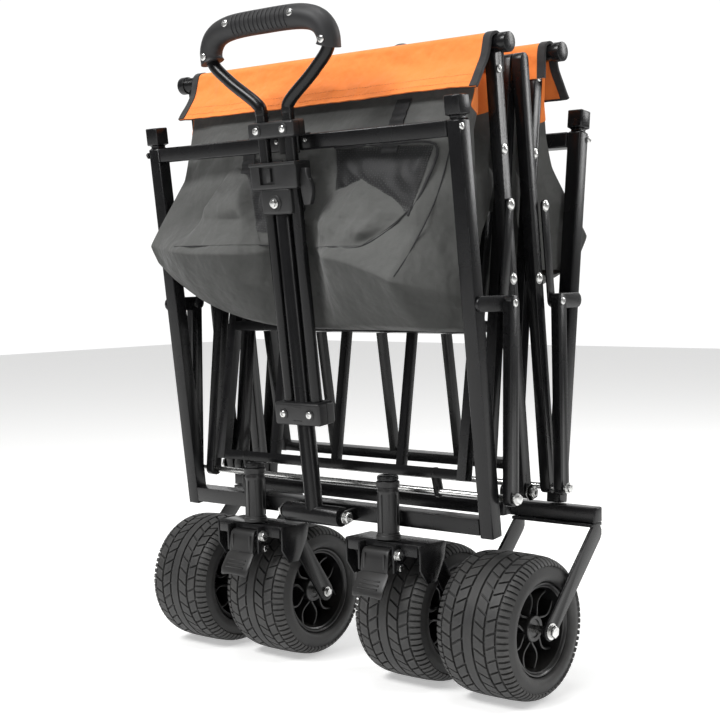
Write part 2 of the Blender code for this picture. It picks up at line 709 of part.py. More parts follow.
def rear_wheel(side):
    """Fork plates hung from the rear base rail, with the wheel tucked forward between them."""
    s = SIDES[side]
    x = s * REAR_WHEEL_X
    y = REAR_WHEEL_Y
    rail_y = post_y(BASE_RAIL_Z)
    plate_top = BASE_RAIL_Z - POST / 2 - GAP
    wheel = axis(f"rear_wheel_{side}", (x, y, WHEEL_R), FRAME["rear"])
    arms = wheel_arms(x, y, rail_y, plate_top - ARM_WIDTH / 2)
    yoke = block(
        (x - FORK_REACH, rail_y - ARM_WIDTH / 2, plate_top - ARM_THICK),
        (x + FORK_REACH, rail_y + ARM_WIDTH / 2, plate_top),
    )
    part(
        f"rear_fork_{side}", FRAME["rear"], POWDER, yoke, add=arms, cut=[axle_bore(x, y)]
    )
    axle(f"rear_axle_{side}", FRAME["rear"], x, y)
    tyre(f"rear_tyre_{side}", wheel, x, y)
    rim(f"rear_rim_{side}", wheel, x, y)


def caster(side):
    """A fork that swivels on its kingpin, with its wheel trailing behind and a brake pedal."""
    s = SIDES[side]
    x = s * CASTER_X
    y = CASTER_Y + CASTER_TRAIL
    swivel = axis(f"caster_{side}", (x, CASTER_Y, SLEEVE_FOOT), FRAME["front"])
    wheel = axis(f"caster_wheel_{side}", (x, y, WHEEL_R), swivel)
    front = CASTER_Y - SLEEVE_R
    back = CASTER_Y + CASTER_TRAIL / 2
    top = FORK_PLATE_Z + FORK_PLATE
    plate = block((x - FORK_REACH, front, FORK_PLATE_Z), (x + FORK_REACH, back, top))
    add = wheel_arms(x, y, CASTER_Y + ARM_WIDTH / 2, top - ARM_WIDTH / 2)
    head_z = SLEEVE_TOP + GAP * 2
    add.append(cylinder_z(x, CASTER_Y, FORK_PLATE_Z, head_z + GAP, KINGPIN_R, 16))
    add.append(cylinder_z(x, CASTER_Y, head_z, head_z + KINGPIN_HEAD, SLEEVE_R, 20))
    cut = [axle_bore(x, y)]
    part(f"caster_fork_{side}", swivel, POWDER, plate, add=add, cut=cut)
    axle(f"caster_axle_{side}", swivel, x, y)
    tyre(f"caster_tyre_{side}", wheel, x, y)
    rim(f"caster_rim_{side}", wheel, x, y)
    brake(side, x, front, swivel)


def brake(side, x, front, swivel):
    """A foot pedal hinged under the front edge of the fork's plate."""
    top = (front - PEDAL_THICK, FORK_PLATE_Z - PEDAL_AXIS_DROP)
    body = axis(f"brake_{side}", (x, *top), swivel)
    reach = PEDAL_REACH
    outline = [
        (top[0] + PEDAL_THICK - GAP, top[1] + PEDAL_THICK),
        (top[0] - PEDAL_THICK, top[1] + PEDAL_THICK),
        (top[0] - reach * 0.6, top[1] - PEDAL_DROP * 0.45),
        (top[0] - reach, top[1] - PEDAL_DROP),
        (top[0] - reach + PEDAL_THICK, top[1] - PEDAL_DROP),
        (top[0] - reach * 0.6 + PEDAL_THICK * 1.6, top[1] - PEDAL_DROP * 0.40),
        (top[0] + PEDAL_THICK - GAP, top[1] - PEDAL_THICK),
    ]
    pedal = prism_x(outline, x - PEDAL_HALF, x + PEDAL_HALF)
    part(f"brake_pedal_{side}", body, PLASTIC, pedal, bevel=0.001)


# ---------------------------------------------------------------- handle
def slab(along0, along1, half_x, out0, out1, x=0.0):
    """A block in the handle's own directions, outwards from its plane."""
    corners = ((along0, out0), (along1, out0), (along1, out1), (along0, out1))
    return prism_x([on_handle(*corner) for corner in corners], x - half_x, x + half_x)


def round_tube(x, along0, along1, radius, count=16, out=0.0):
    rings = []
    for along in (along0, along1):
        ring = []
        for a, b in circle(0, 0, radius, count):
            ring.append((x + a, *on_handle(along, out + b)))
        rings.append(ring)
    return loft(rings)


def handle_base():
    hinge = cylinder_x(-HINGE_HALF, HINGE_HALF, HINGE_Y, HINGE_Z, HINGE_R, 20)
    core = round_tube(0, 0, LOCK_FOOT + COLLAR, CORE_R)
    part("handle_core_tube", HANDLE, POWDER, core, add=[hinge])
    foot = LOCK_FOOT
    top = LOCK_FOOT + LOCK_LENGTH
    body = slab(foot, top, CLAMP_HALF, -CLAMP_DEPTH, CLAMP_DEPTH)
    holes = [round_tube(0, foot - GAP, foot + COLLAR + GAP, CORE_R + GAP)]
    for s in SIDES.values():
        holes.append(round_tube(s * LEG_X, foot - GAP, top + GAP, LEG_R + PLAY))
    part("lock_body", HANDLE, PLASTIC, body, cut=holes, bevel=0.0015)


def lock_lever():
    middle = LOCK_FOOT + LOCK_LENGTH / 2
    half = LEVER_LENGTH / 2
    ends = (middle - LEVER_HALF, middle + LEVER_HALF)
    lever = slab(*ends, half, LEVER_FRONT - LEVER_DEPTH, LEVER_FRONT, x=LEVER_X + half)
    part("lock_lever", LEVER, PLASTIC, lever, bevel=0.002)


def handle_path():
    """The D handle's centre line as (x, along), left leg first, smoothed through its turns."""
    corners = [
        (LEG_X, LOWER_CLAMP + CLAMP_LENGTH * 0.5),
        (LEG_X, UPPER_CLAMP + CLAMP_LENGTH),
        (LEG_X + 0.006, UPPER_CLAMP + CLAMP_LENGTH + 0.014),
        (GRIP_HALF - 0.026, UPPER_CLAMP + 0.072),
        (GRIP_HALF, GRIP_TOP - GRIP_SHOULDER),
        (GRIP_HALF - 0.006, GRIP_TOP - 0.014),
        (GRIP_HALF - 0.034, GRIP_TOP - 0.002),
    ]
    left = [(-x, along) for x, along in corners]
    route = left + [(0, GRIP_TOP)] + corners[::-1]
    points = []
    last = len(route) - 2
    for i in range(len(route) - 1):
        before = Vector(route[max(i - 1, 0)])
        start = Vector(route[i])
        stop = Vector(route[i + 1])
        after = Vector(route[min(i + 2, last + 1)])
        steps = 1 if i in (0, last) else 2
        for k in range(steps):
            t = k / steps
            swing = (stop - before) / 2, (after - start) / 2
            h = (2 * t**3 - 3 * t**2 + 1, t**3 - 2 * t**2 + t, 3 * t**2 - 2 * t**3, t**3 - t**2)
            if steps == 1:
                points.append(start)
            else:
                points.append(h[0] * start + h[1] * swing[0] + h[2] * stop + h[3] * swing[1])
    points.append(Vector(route[-1]))
    return points


def tube_along(path, radius, count=10):
    """A round tube on a path in the handle's plane."""
    rings = []
    for i, here in enumerate(path):
        before = path[max(i - 1, 0)]
        after = path[min(i + 1, len(path) - 1)]
        along = (after - before).normalized()
        side = Vector((along.y, -along.x))
        ring = []
        for a, b in circle(0, 0, radius, count):
            x, up = here + side * a
            ring.append((x, *on_handle(up, b)))
        rings.append(ring)
    return loft(rings)


def handle_slide():
    path = handle_path()
    start = GRIP_TOP - GRIP_SHOULDER - 0.002
    part("handle_tube", SLIDER, POWDER, tube_along(path, LEG_R, 12))
    held = [i for i, point in enumerate(path) if point.y >= start]
    grip = tube_along(path[held[0] : held[-1] + 1], GRIP_R, 12)
    inner = tube_along(path[held[0] - 2 : held[-1] + 3], LEG_R + GAP, 12)
    part("handle_grip", SLIDER, GRIP, grip, cut=[inner])
    low = LOWER_CLAMP
    foot = slab(low, low + CLAMP_LENGTH, CLAMP_HALF, -CLAMP_DEPTH, CLAMP_DEPTH)
    core = round_tube(0, low - GAP, low + CLAMP_LENGTH + GAP, CORE_R + PLAY)
    cut = [core]
    for s in SIDES.values():
        top = low + CLAMP_LENGTH + GAP
        cut.append(round_tube(s * LEG_X, low + CLAMP_LENGTH * 0.5 - GAP, top, LEG_R + GAP))
    part("lower_clamp", SLIDER, PLASTIC, foot, cut=cut, bevel=0.0015)
    high = UPPER_CLAMP
    brace = slab(high, high + BRACE_LENGTH, CLAMP_HALF, -BRACE_DEPTH / 2, BRACE_DEPTH / 2)
    cut = []
    for s in SIDES.values():
        cut.append(round_tube(s * LEG_X, high - GAP, high + CLAMP_LENGTH, LEG_R + GAP))
    part("upper_clamp", SLIDER, PLASTIC, brace, cut=cut, bevel=0.0015)


def handle_clip():
    """The jaws on the upper rail that hold the stowed handle's tube."""
    along = (UPPER_RAIL_Z - HINGE_Z) / COS_LEAN
    back = HANDLE_OFF - POST / 2 - GAP
    body = slab(along - CLIP_HALF, along + CLIP_HALF, CLIP_HALF, -back, CLIP_THICK - back)
    part("handle_clip", FRAME["front"], PLASTIC, body, bevel=0.001)


# ---------------------------------------------------------------- folded bag
def bag_outer(x, z):
    """Distance of the folded bag's outer face from the middle plane."""
    rail = UPPER_RAIL_Z - POST
    if z >= rail:
        t = (z - rail) / (BAG_TOP - rail)
        reach = BAG_WAIST + (BAG_MOUTH - BAG_WAIST) * t
    else:
        t = (rail - z) / (rail - BAG_FOOT)
        reach = BAG_WAIST + (BAG_BULGE - BAG_WAIST) * math.sin(math.pi * min(t / 1.05, 1.0)) ** 0.8
    fall = min(1.0, max(0.0, (abs(x) - BAG_RECESS_HALF) / 0.045))
    fall = fall * fall * (3 - 2 * fall)
    edge = max(0.0, (abs(x) - BAG_HALF * 0.80) / (BAG_HALF * 0.20))
    reach -= (reach - BAG_RECESS) * 0.55 * edge**2
    return min(reach, BAG_RECESS + (reach - BAG_RECESS) * fall)


def bag_inner(z):
    t = min(1.0, (z - BAG_FOOT) / (0.55 * (BAG_TOP - BAG_FOOT)))
    return BAG_CORE_FOOT + (BAG_CORE_TOP - BAG_CORE_FOOT) * t


def bag_lobe(end, body):
    """One half of the folded bag: a closed shell between its inner and outer faces."""
    e = ENDS[end]
    rings = []
    for i in range(BAG_ROWS):
        z = BAG_FOOT + (BAG_TOP - BAG_FOOT) * i / (BAG_ROWS - 1)
        xs = [BAG_HALF * (2 * j / (BAG_COLUMNS - 1) - 1) for j in range(BAG_COLUMNS)]
        outer = [(x, e * max(bag_outer(x, z), bag_inner(z) + BAG_THINNEST), z) for x in xs]
        inner = [(x, e * bag_inner(z), z) for x in (xs[-1], xs[0])]
        rings.append(outer + inner)
    part(f"bag_{end}", body, CLOTH, loft(rings))


# ---------------------------------------------------------------- the cart
def centre_over_origin():
    """Moves the whole cart so that the origin is under the middle of its bounding box."""
    bpy.context.view_layer.update()
    graph = bpy.context.evaluated_depsgraph_get()
    reach = []
    for made in bpy.context.scene.objects:
        if made.type == "MESH" and not made.hide_render:
            seen = made.evaluated_get(graph)
            reach += [(seen.matrix_world @ Vector(corner)).y for corner in seen.bound_box]
    SUPPORT.location.y -= (min(reach) + max(reach)) / 2
    bpy.context.view_layer.update()


centre_support()
for end_name in ENDS:
    hoop(end_name)
    cross(end_name)
    links(end_name)
    upper_rail(end_name)
    struts(end_name)
    for side_name in SIDES:
        post(end_name, side_name)
front_base_rail()
rear_base_rail()
floor_half("front", FLOOR_FRONT)
floor_half("rear", FLOOR_REAR)
for side_name in SIDES:
    rear_wheel(side_name)
    caster(side_name)
handle_base()
lock_lever()
handle_slide()
handle_clip()
bag_lobe("front", BAG_FRONT)
bag_lobe("rear", BAG_REAR)
centre_over_origin()
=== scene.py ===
"""Looks of the folded beach wagon: finishes, fabric, tread, fasteners, camera and light.

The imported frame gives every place. The cart's middle plane lies at MIDDLE_Y, its front faces -Y,
and its right side is +X. Lengths are metres.
"""

import json
import math

import bpy
import numpy as np
from mathutils import Matrix, Vector, noise

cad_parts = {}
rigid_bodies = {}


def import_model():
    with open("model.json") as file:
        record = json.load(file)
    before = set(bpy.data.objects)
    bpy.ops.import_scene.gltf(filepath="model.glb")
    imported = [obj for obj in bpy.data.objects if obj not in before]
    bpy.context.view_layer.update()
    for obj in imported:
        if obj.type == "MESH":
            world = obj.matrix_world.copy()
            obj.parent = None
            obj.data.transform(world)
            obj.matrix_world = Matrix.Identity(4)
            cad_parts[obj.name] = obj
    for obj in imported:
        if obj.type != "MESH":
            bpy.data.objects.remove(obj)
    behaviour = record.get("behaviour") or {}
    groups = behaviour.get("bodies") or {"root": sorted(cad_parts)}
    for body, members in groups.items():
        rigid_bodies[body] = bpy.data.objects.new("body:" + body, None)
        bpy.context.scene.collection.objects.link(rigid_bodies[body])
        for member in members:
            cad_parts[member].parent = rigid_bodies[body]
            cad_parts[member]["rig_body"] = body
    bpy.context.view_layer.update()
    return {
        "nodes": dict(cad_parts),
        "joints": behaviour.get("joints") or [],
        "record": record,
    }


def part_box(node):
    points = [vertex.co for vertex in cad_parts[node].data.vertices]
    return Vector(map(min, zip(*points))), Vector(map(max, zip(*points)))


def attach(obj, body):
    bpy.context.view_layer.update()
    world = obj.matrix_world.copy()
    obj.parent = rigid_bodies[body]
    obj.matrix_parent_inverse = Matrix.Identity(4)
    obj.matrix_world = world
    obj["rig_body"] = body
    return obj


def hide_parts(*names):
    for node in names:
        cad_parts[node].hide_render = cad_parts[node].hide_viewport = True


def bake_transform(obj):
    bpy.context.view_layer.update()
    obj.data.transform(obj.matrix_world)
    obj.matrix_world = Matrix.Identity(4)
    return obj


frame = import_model()
JOINTS = {joint["name"]: joint for joint in frame["joints"]}
MIDDLE_Y = JOINTS["fold"]["pos_m"][1]
LEAN = math.radians(6.7)  # of the end frames and of the stowed handle
SIDES = {"left": -1, "right": 1}
ENDS = {"front": -1, "rear": 1}


# ---------------------------------------------------------------- camera, light and floor
def aim_camera():
    """A three-quarter view from the front right, a little above the middle of the cart."""
    camera = bpy.data.objects.new("camera", bpy.data.cameras.new("camera"))
    bpy.context.scene.collection.objects.link(camera)
    camera.location = (1.2253, MIDDLE_Y - 1.4560, 0.5016)
    yaw, pitch, roll = math.radians(40.48), math.radians(4.94), math.radians(1.0)
    level = Matrix.Rotation(yaw, 4, "Z") @ Matrix.Rotation(math.pi / 2 - pitch, 4, "X")
    turned = level @ Matrix.Rotation(-roll, 4, "Z")
    camera.rotation_euler = turned.to_euler()
    camera.data.sensor_width = 36
    camera.data.lens = 74.15
    camera.data.shift_x = 0.0065
    camera.data.shift_y = 0.058
    camera.data.clip_start = 0.05
    bpy.context.scene.camera = camera


def soft_light(name, place, target, size, power):
    """An area lamp at a place, turned towards its target."""
    data = bpy.data.lights.new(name, "AREA")
    data.shape = "RECTANGLE"
    data.size, data.size_y = size
    data.energy = power
    light = bpy.data.objects.new(name, data)
    bpy.context.scene.collection.objects.link(light)
    light.location = place
    light.rotation_euler = (Vector(target) - Vector(place)).to_track_quat("-Z", "Y").to_euler()


def studio():
    """A pale floor, a sky that glows behind the cart, a large key, a fill, a strip and a top light."""
    bpy.ops.object.select_all(action="DESELECT")
    bpy.ops.mesh.primitive_plane_add(size=14, location=(0, 0, 0))
    floor = bpy.context.object
    floor.name = "floor"
    plain = bpy.data.materials.new("pale floor")
    plain.use_nodes = True
    shader = plain.node_tree.nodes["Principled BSDF"]
    shader.inputs["Base Color"].default_value = (0.86, 0.86, 0.85, 1)
    shader.inputs["Roughness"].default_value = 0.9
    floor.data.materials.append(plain)
    shader.inputs["Emission Color"].default_value = (1, 1, 1, 1)
    shader.inputs["Emission Strength"].default_value = 0.42
    world = bpy.context.scene.world or bpy.data.worlds.new("studio")
    bpy.context.scene.world = world
    world.use_nodes = True
    tree = world.node_tree
    sky = tree.nodes["Background"]
    look = tree.nodes.new("ShaderNodeTexCoord").outputs["Generated"]
    away = tree.nodes.new("ShaderNodeVectorMath")
    away.operation = "DOT_PRODUCT"
    tree.links.new(look, away.inputs[0])
    away.inputs[1].default_value = (-0.649, 0.760, 0.0)
    glow = tree.nodes.new("ShaderNodeMapRange")
    glow.interpolation_type = "SMOOTHSTEP"
    tree.links.new(away.outputs["Value"], glow.inputs["Value"])
    glow.inputs["From Min"].default_value = 0.35
    glow.inputs["From Max"].default_value = 0.85
    glow.inputs["To Min"].default_value = 0.17
    glow.inputs["To Max"].default_value = 1.05
    tree.links.new(glow.outputs[0], sky.inputs["Strength"])
    sky.inputs["Color"].default_value = (1, 1, 1, 1)
    bpy.context.scene.view_settings.view_transform = "Standard"
    middle = (0, 0, 0.42)
    soft_light("key", (-0.7, -2.4, 3.0), middle, (1.5, 1.1), 98)
    soft_light("fill", (2.9, -1.1, 1.3), middle, (0.7, 1.8), 13)
    soft_light("back strip", (1.5, 2.4, 1.9), middle, (0.6, 2.0), 36)
    soft_light("top", (0.2, -0.2, 2.9), middle, (1.2, 1.2), 34)


# ---------------------------------------------------------------- shader groups
def new_group(name, inputs, outputs):
    """A shader node group; inputs are (name, value), outputs are (name, socket type)."""
    group = bpy.data.node_groups.new(name, "ShaderNodeTree")
    for label, value in inputs:
        kind = "NodeSocketVector" if isinstance(value, tuple) else "NodeSocketFloat"
        socket = group.interface.new_socket(label, in_out="INPUT", socket_type=kind)
        socket.default_value = value
    for label, kind in outputs:
        group.interface.new_socket(label, in_out="OUTPUT", socket_type=kind)
    entry = group.nodes.new("NodeGroupInput")
    leave = group.nodes.new("NodeGroupOutput")
    return group, entry, leave


def add_node(tree, kind, links=(), **settings):
    """A node with its settings; links are (its input, what feeds it: a socket or a value)."""
    node = tree.nodes.new("ShaderNode" + kind)
    for key, value in settings.items():
        setattr(node, key, value)
    for label, source in links:
        if isinstance(source, bpy.types.NodeSocket):
            tree.links.new(source, node.inputs[label])
        else:
            node.inputs[label].default_value = source
    return node


def calc(tree, operation, a, b=0.0, c=0.0, clamp=False):
    """The output of a math node."""
    node = add_node(tree, "Math", [(0, a), (1, b), (2, c)], operation=operation, use_clamp=clamp)
    return node.outputs[0]


def noise_of(tree, place, scale, detail=3.0, rough=0.5):
    """The output of a noise texture at a place."""
    links = [("Vector", place), ("Scale", scale), ("Detail", detail), ("Roughness", rough)]
    return add_node(tree, "TexNoise", links).outputs[0]


def make_grain():
    """Fine surface grain with a slower cloudiness under it."""
    group, entry, leave = new_group(
        "moulded grain",
        [("Place", (0.0, 0.0, 0.0)), ("Fine", 900.0), ("Cloud", 14.0), ("Mix", 0.35)],
        [("Height", "NodeSocketFloat"), ("Cloud", "NodeSocketFloat")],
    )
    fine = noise_of(group, entry.outputs["Place"], entry.outputs["Fine"], 2.0)
    slow = noise_of(group, entry.outputs["Place"], entry.outputs["Cloud"], 4.0, 0.6)
    kept = calc(group, "MULTIPLY", slow, entry.outputs["Mix"])
    group.links.new(calc(group, "ADD", fine, kept), leave.inputs["Height"])
    group.links.new(slow, leave.inputs["Cloud"])
    return group


def make_edge_wear():
    """A mask of convex edges, broken up by noise."""
    group, entry, leave = new_group(
        "edge wear",
        [("Place", (0.0, 0.0, 0.0)), ("Start", 0.52), ("Amount", 0.5), ("Break up", 60.0)],
        [("Mask", "NodeSocketFloat")],
    )
    bend = group.nodes.new("ShaderNodeNewGeometry").outputs["Pointiness"]
    over = calc(group, "SUBTRACT", bend, entry.outputs["Start"])
    sharp = calc(group, "MULTIPLY", over, 14.0, clamp=True)
    patch = noise_of(group, entry.outputs["Place"], entry.outputs["Break up"], 5.0, 0.7)
    torn = calc(group, "MULTIPLY_ADD", patch, 2.6, -0.9, clamp=True)
    mask = calc(group, "MULTIPLY", calc(group, "MULTIPLY", sharp, torn), entry.outputs["Amount"])
    group.links.new(mask, leave.inputs["Mask"])
    return group


def make_dust():
    """Pale dust on upward faces, thicker near the ground."""
    group, entry, leave = new_group(
        "dust",
        [("Place", (0.0, 0.0, 0.0)), ("Amount", 0.3), ("Reach", 0.25)],
        [("Mask", "NodeSocketFloat")],
    )
    facing = group.nodes.new("ShaderNodeNewGeometry").outputs["Normal"]
    up = add_node(group, "SeparateXYZ", [(0, facing)]).outputs["Z"]
    lifted = calc(group, "MULTIPLY_ADD", up, 0.6, 0.5, clamp=True)
    height = add_node(group, "SeparateXYZ", [(0, entry.outputs["Place"])]).outputs["Z"]
    low = calc(group, "SUBTRACT", 1.0, calc(group, "DIVIDE", height, entry.outputs["Reach"]), clamp=True)
    patch = noise_of(group, entry.outputs["Place"], 22.0, 6.0, 0.65)
    spots = calc(group, "MULTIPLY_ADD", patch, 2.2, -0.7, clamp=True)
    mask = calc(group, "MULTIPLY", calc(group, "MULTIPLY", lifted, low), spots)
    group.links.new(calc(group, "MULTIPLY", mask, entry.outputs["Amount"]), leave.inputs["Mask"])
    return group


def make_weave():
    """Plain weave from two crossing sets of threads, on the cloth's own UV map, in metres."""
    group, entry, leave = new_group(
        "plain weave",
        [("Place", (0.0, 0.0, 0.0)), ("Pitch", 0.0013)],
        [("Height", "NodeSocketFloat"), ("Thread", "NodeSocketFloat")],
    )
    split = add_node(group, "SeparateXYZ", [(0, entry.outputs["Place"])])
    half_turn = calc(group, "DIVIDE", math.pi, entry.outputs["Pitch"])
    across = calc(group, "MULTIPLY", split.outputs["X"], half_turn)
    along = calc(group, "MULTIPLY", split.outputs["Y"], half_turn)
    warp = calc(group, "ABSOLUTE", calc(group, "SINE", across))
    weft = calc(group, "ABSOLUTE", calc(group, "SINE", along))
    over = calc(group, "MULTIPLY", calc(group, "COSINE", across), calc(group, "COSINE", along))
    over = calc(group, "MULTIPLY_ADD", over, 0.5, 0.5)
    bend = calc(group, "MULTIPLY", warp, over)
    other = calc(group, "MULTIPLY", weft, calc(group, "SUBTRACT", 1.0, over))
    group.links.new(calc(group, "MAXIMUM", bend, other), leave.inputs["Height"])
    slub = noise_of(group, entry.outputs["Place"], 260.0, 3.0, 0.6)
    group.links.new(slub, leave.inputs["Thread"])
    return group


GRAIN, EDGE_WEAR, DUST, WEAVE = make_grain(), make_edge_wear(), make_dust(), make_weave()


# ---------------------------------------------------------------- finishes
def start_finish(name, colour, roughness, metallic=0.0, **sockets):
    """A material with its Principled shader; sockets are plain values set on the shader."""
    made = bpy.data.materials.new(name)
    made.use_nodes = True
    tree = made.node_tree
    shader = tree.nodes["Principled BSDF"]
    shader.inputs["Base Color"].default_value = (*colour, 1)
    shader.inputs["Roughness"].default_value = roughness
    shader.inputs["Metallic"].default_value = metallic
    for label, value in sockets.items():
        shader.inputs[label.replace("_", " ").title()].default_value = value
    place = tree.nodes.new("ShaderNodeTexCoord").outputs["Object"]
    return made, tree, shader, place


def use_group(tree, group, **values):
    """A group node with its sockets set, or fed by other sockets."""
    node = tree.nodes.new("ShaderNodeGroup")
    node.node_tree = group
    for label, value in values.items():
        socket = node.inputs[label.replace("_", " ").capitalize()]
        if isinstance(value, bpy.types.NodeSocket):
            tree.links.new(value, socket)
        else:
            socket.default_value = value
    return node


def mix_colour(tree, mask, first, second):
    """The first colour where the mask is 0, the second where it is 1."""
    node = add_node(tree, "Mix", data_type="RGBA")
    for socket, value in ((node.inputs[0], mask), (node.inputs[6], first), (node.inputs[7], second)):
        if isinstance(value, bpy.types.NodeSocket):
            tree.links.new(value, socket)
        elif isinstance(value, tuple):
            socket.default_value = (*value, 1)
        else:
            socket.default_value = value
    return node.outputs[2]


def spread(tree, value, low, high):
    """A 0-1 value spread over a range."""
    links = [("Value", value), ("To Min", low), ("To Max", high)]
    return add_node(tree, "MapRange", links).outputs[0]


def raise_bump(tree, shader, height, distance, strength=1.0, under=None):
    """Gives the shader a bump, over another bump if there is one under it."""
    links = [("Height", height), ("Distance", distance), ("Strength", strength)]
    if under:
        links.append(("Normal", under))
    bump = add_node(tree, "Bump", links)
    tree.links.new(bump.outputs[0], shader.inputs["Normal"])


def powder_coat():
    """Gloss black powder coat: a soft orange peel, dust, and edges rubbed a little paler."""
    made, tree, shader, place = start_finish(
        "gloss black powder coat", (0.0045, 0.0045, 0.005), 0.26
    )
    shader.inputs["Specular IOR Level"].default_value = 0.30
    grain = use_group(tree, GRAIN, place=place, fine=420.0, cloud=9.0, mix=0.5)
    wear = use_group(tree, EDGE_WEAR, place=place, start=0.525, amount=0.35, break_up=45.0)
    dust = use_group(tree, DUST, place=place, amount=0.05, reach=0.45)
    rubbed = mix_colour(tree, wear.outputs[0], (0.0045, 0.0045, 0.005), (0.035, 0.035, 0.037))
    dusty = mix_colour(tree, dust.outputs[0], rubbed, (0.16, 0.15, 0.14))
    tree.links.new(dusty, shader.inputs["Base Color"])
    rough = spread(tree, grain.outputs["Cloud"], 0.19, 0.34)
    rough = calc(tree, "ADD", rough, calc(tree, "MULTIPLY", dust.outputs[0], 0.4))
    tree.links.new(rough, shader.inputs["Roughness"])
    raise_bump(tree, shader, grain.outputs["Height"], 0.00012, 0.5)
    return made


def zinc():
    """Bright zinc plate, cloudy and finely grained."""
    made, tree, shader, place = start_finish("bright zinc", (0.66, 0.66, 0.65), 0.24, 1.0)
    grain = use_group(tree, GRAIN, place=place, fine=700.0, cloud=60.0, mix=0.6)
    cloudy = mix_colour(tree, grain.outputs["Cloud"], (0.50, 0.50, 0.49), (0.80, 0.80, 0.79))
    tree.links.new(cloudy, shader.inputs["Base Color"])
    tree.links.new(spread(tree, grain.outputs["Cloud"], 0.16, 0.36), shader.inputs["Roughness"])
    raise_bump(tree, shader, grain.outputs["Height"], 0.00005, 0.5)
    return made


def moulded(name, colour, worn, roughness, fine=1100.0, depth=0.00010, amount=0.4):
    """Moulded plastic or rubber: fine texture, cloudy sheen, paler edges and a little dust."""
    made, tree, shader, place = start_finish(name, colour, roughness)
    grain = use_group(tree, GRAIN, place=place, fine=fine, cloud=18.0, mix=0.3)
    wear = use_group(tree, EDGE_WEAR, place=place, start=0.52, amount=amount, break_up=80.0)
    dust = use_group(tree, DUST, place=place, amount=0.16, reach=0.35)
    rubbed = mix_colour(tree, wear.outputs[0], colour, worn)
    dusty = mix_colour(tree, dust.outputs[0], rubbed, (0.20, 0.19, 0.17))
    tree.links.new(dusty, shader.inputs["Base Color"])
    rough = spread(tree, grain.outputs["Cloud"], roughness - 0.08, roughness + 0.10)
    tree.links.new(rough, shader.inputs["Roughness"])
    raise_bump(tree, shader, grain.outputs["Height"], depth, 0.7)
    return made


def tread_rubber():
    """Charcoal tyre compound: chalky scuffs on the crown and dust in patches."""
    made, tree, shader, place = start_finish("tyre rubber", (0.020, 0.020, 0.020), 0.72)
    grain = use_group(tree, GRAIN, place=place, fine=520.0, cloud=26.0, mix=0.6)
    wear = use_group(tree, EDGE_WEAR, place=place, start=0.515, amount=0.75, break_up=120.0)
    dust = use_group(tree, DUST, place=place, amount=0.25, reach=0.30)
    streak = noise_of(tree, place, 38.0, 7.0, 0.72)
    chalk = calc(tree, "MULTIPLY_ADD", streak, 3.4, -1.75, clamp=True)
    base = mix_colour(tree, grain.outputs["Cloud"], (0.014, 0.014, 0.0145), (0.030, 0.030, 0.030))
    base = mix_colour(tree, calc(tree, "MULTIPLY", chalk, 0.5), base, (0.075, 0.075, 0.074))
    base = mix_colour(tree, wear.outputs[0], base, (0.085, 0.084, 0.082))
    base = mix_colour(tree, dust.outputs[0], base, (0.19, 0.18, 0.165))
    tree.links.new(base, shader.inputs["Base Color"])
    tree.links.new(spread(tree, chalk, 0.58, 0.86), shader.inputs["Roughness"])
    raise_bump(tree, shader, grain.outputs["Height"], 0.00022, 0.8)
    return made


def canvas(name, light, dark, pitch=0.0013, depth=0.00016, roughness=0.82):
    """Coated woven canvas: thread-scale weave, slubs, slow random tone, and painted shade in the weave's
    gaps and on downward faces.
    """
    made, tree, shader, place = start_finish(name, light, roughness, sheen_weight=0.12)
    cloth = tree.nodes.new("ShaderNodeUVMap")
    cloth.uv_map = "cloth"
    weave = use_group(tree, WEAVE, place=cloth.outputs[0], pitch=pitch)
    cloud = noise_of(tree, place, 7.0, 5.0, 0.62)
    tone = mix_colour(tree, spread(tree, cloud, -0.45, 0.75), light, dark)
    slub = calc(tree, "MULTIPLY_ADD", weave.outputs["Thread"], 0.9, -0.25, clamp=True)
    tone = mix_colour(tree, calc(tree, "MULTIPLY", slub, 0.35), tone, dark)
    # Painted shade: the gaps between the threads are mixed towards the dark tone.
    painted_gap_shade = calc(tree, "SUBTRACT", 1.0, weave.outputs["Height"], clamp=True)
    tone = mix_colour(tree, calc(tree, "MULTIPLY", painted_gap_shade, 0.30), tone, dark)
    # Painted shade: faces that turn downward are mixed towards the dark tone, as if shaded from the
    # light above.
    normal = tree.nodes.new("ShaderNodeNewGeometry").outputs["Normal"]
    upward = add_node(tree, "SeparateXYZ", [(0, normal)]).outputs["Z"]
    under = calc(tree, "MULTIPLY_ADD", upward, -2.2, 0.15, clamp=True)
    tone = mix_colour(tree, calc(tree, "MULTIPLY", under, 0.95), tone, dark)
    tree.links.new(tone, shader.inputs["Base Color"])
    tree.links.new(spread(tree, cloud, roughness - 0.10, roughness + 0.08), shader.inputs["Roughness"])
    crumple = noise_of(tree, place, 17.0, 3.0, 0.5)
    large = add_node(tree, "Bump", [("Height", crumple), ("Distance", 0.016), ("Strength", 0.70)])
    fold = noise_of(tree, place, 62.0, 4.0, 0.55)
    links = [("Height", fold), ("Distance", 0.0022), ("Strength", 0.50), ("Normal", large.outputs[0])]
    soft = add_node(tree, "Bump", links)
    raise_bump(tree, shader, weave.outputs["Height"], depth, 0.55, under=soft.outputs[0])
    return made


def netting():
    """Black net: the weave's gaps are open."""
    made, tree, shader, place = start_finish("black net", (0.012, 0.012, 0.013), 0.6)
    cloth = tree.nodes.new("ShaderNodeUVMap")
    cloth.uv_map = "cloth"
    weave = use_group(tree, WEAVE, place=cloth.outputs[0], pitch=0.0030)
    solid = calc(tree, "GREATER_THAN", weave.outputs["Height"], 0.42)
    tree.links.new(solid, shader.inputs["Alpha"])
    shade = noise_of(tree, place, 90.0, 3.0)
    tree.links.new(
        mix_colour(tree, shade, (0.008, 0.008, 0.009), (0.030, 0.030, 0.031)),
        shader.inputs["Base Color"],
    )
    return made


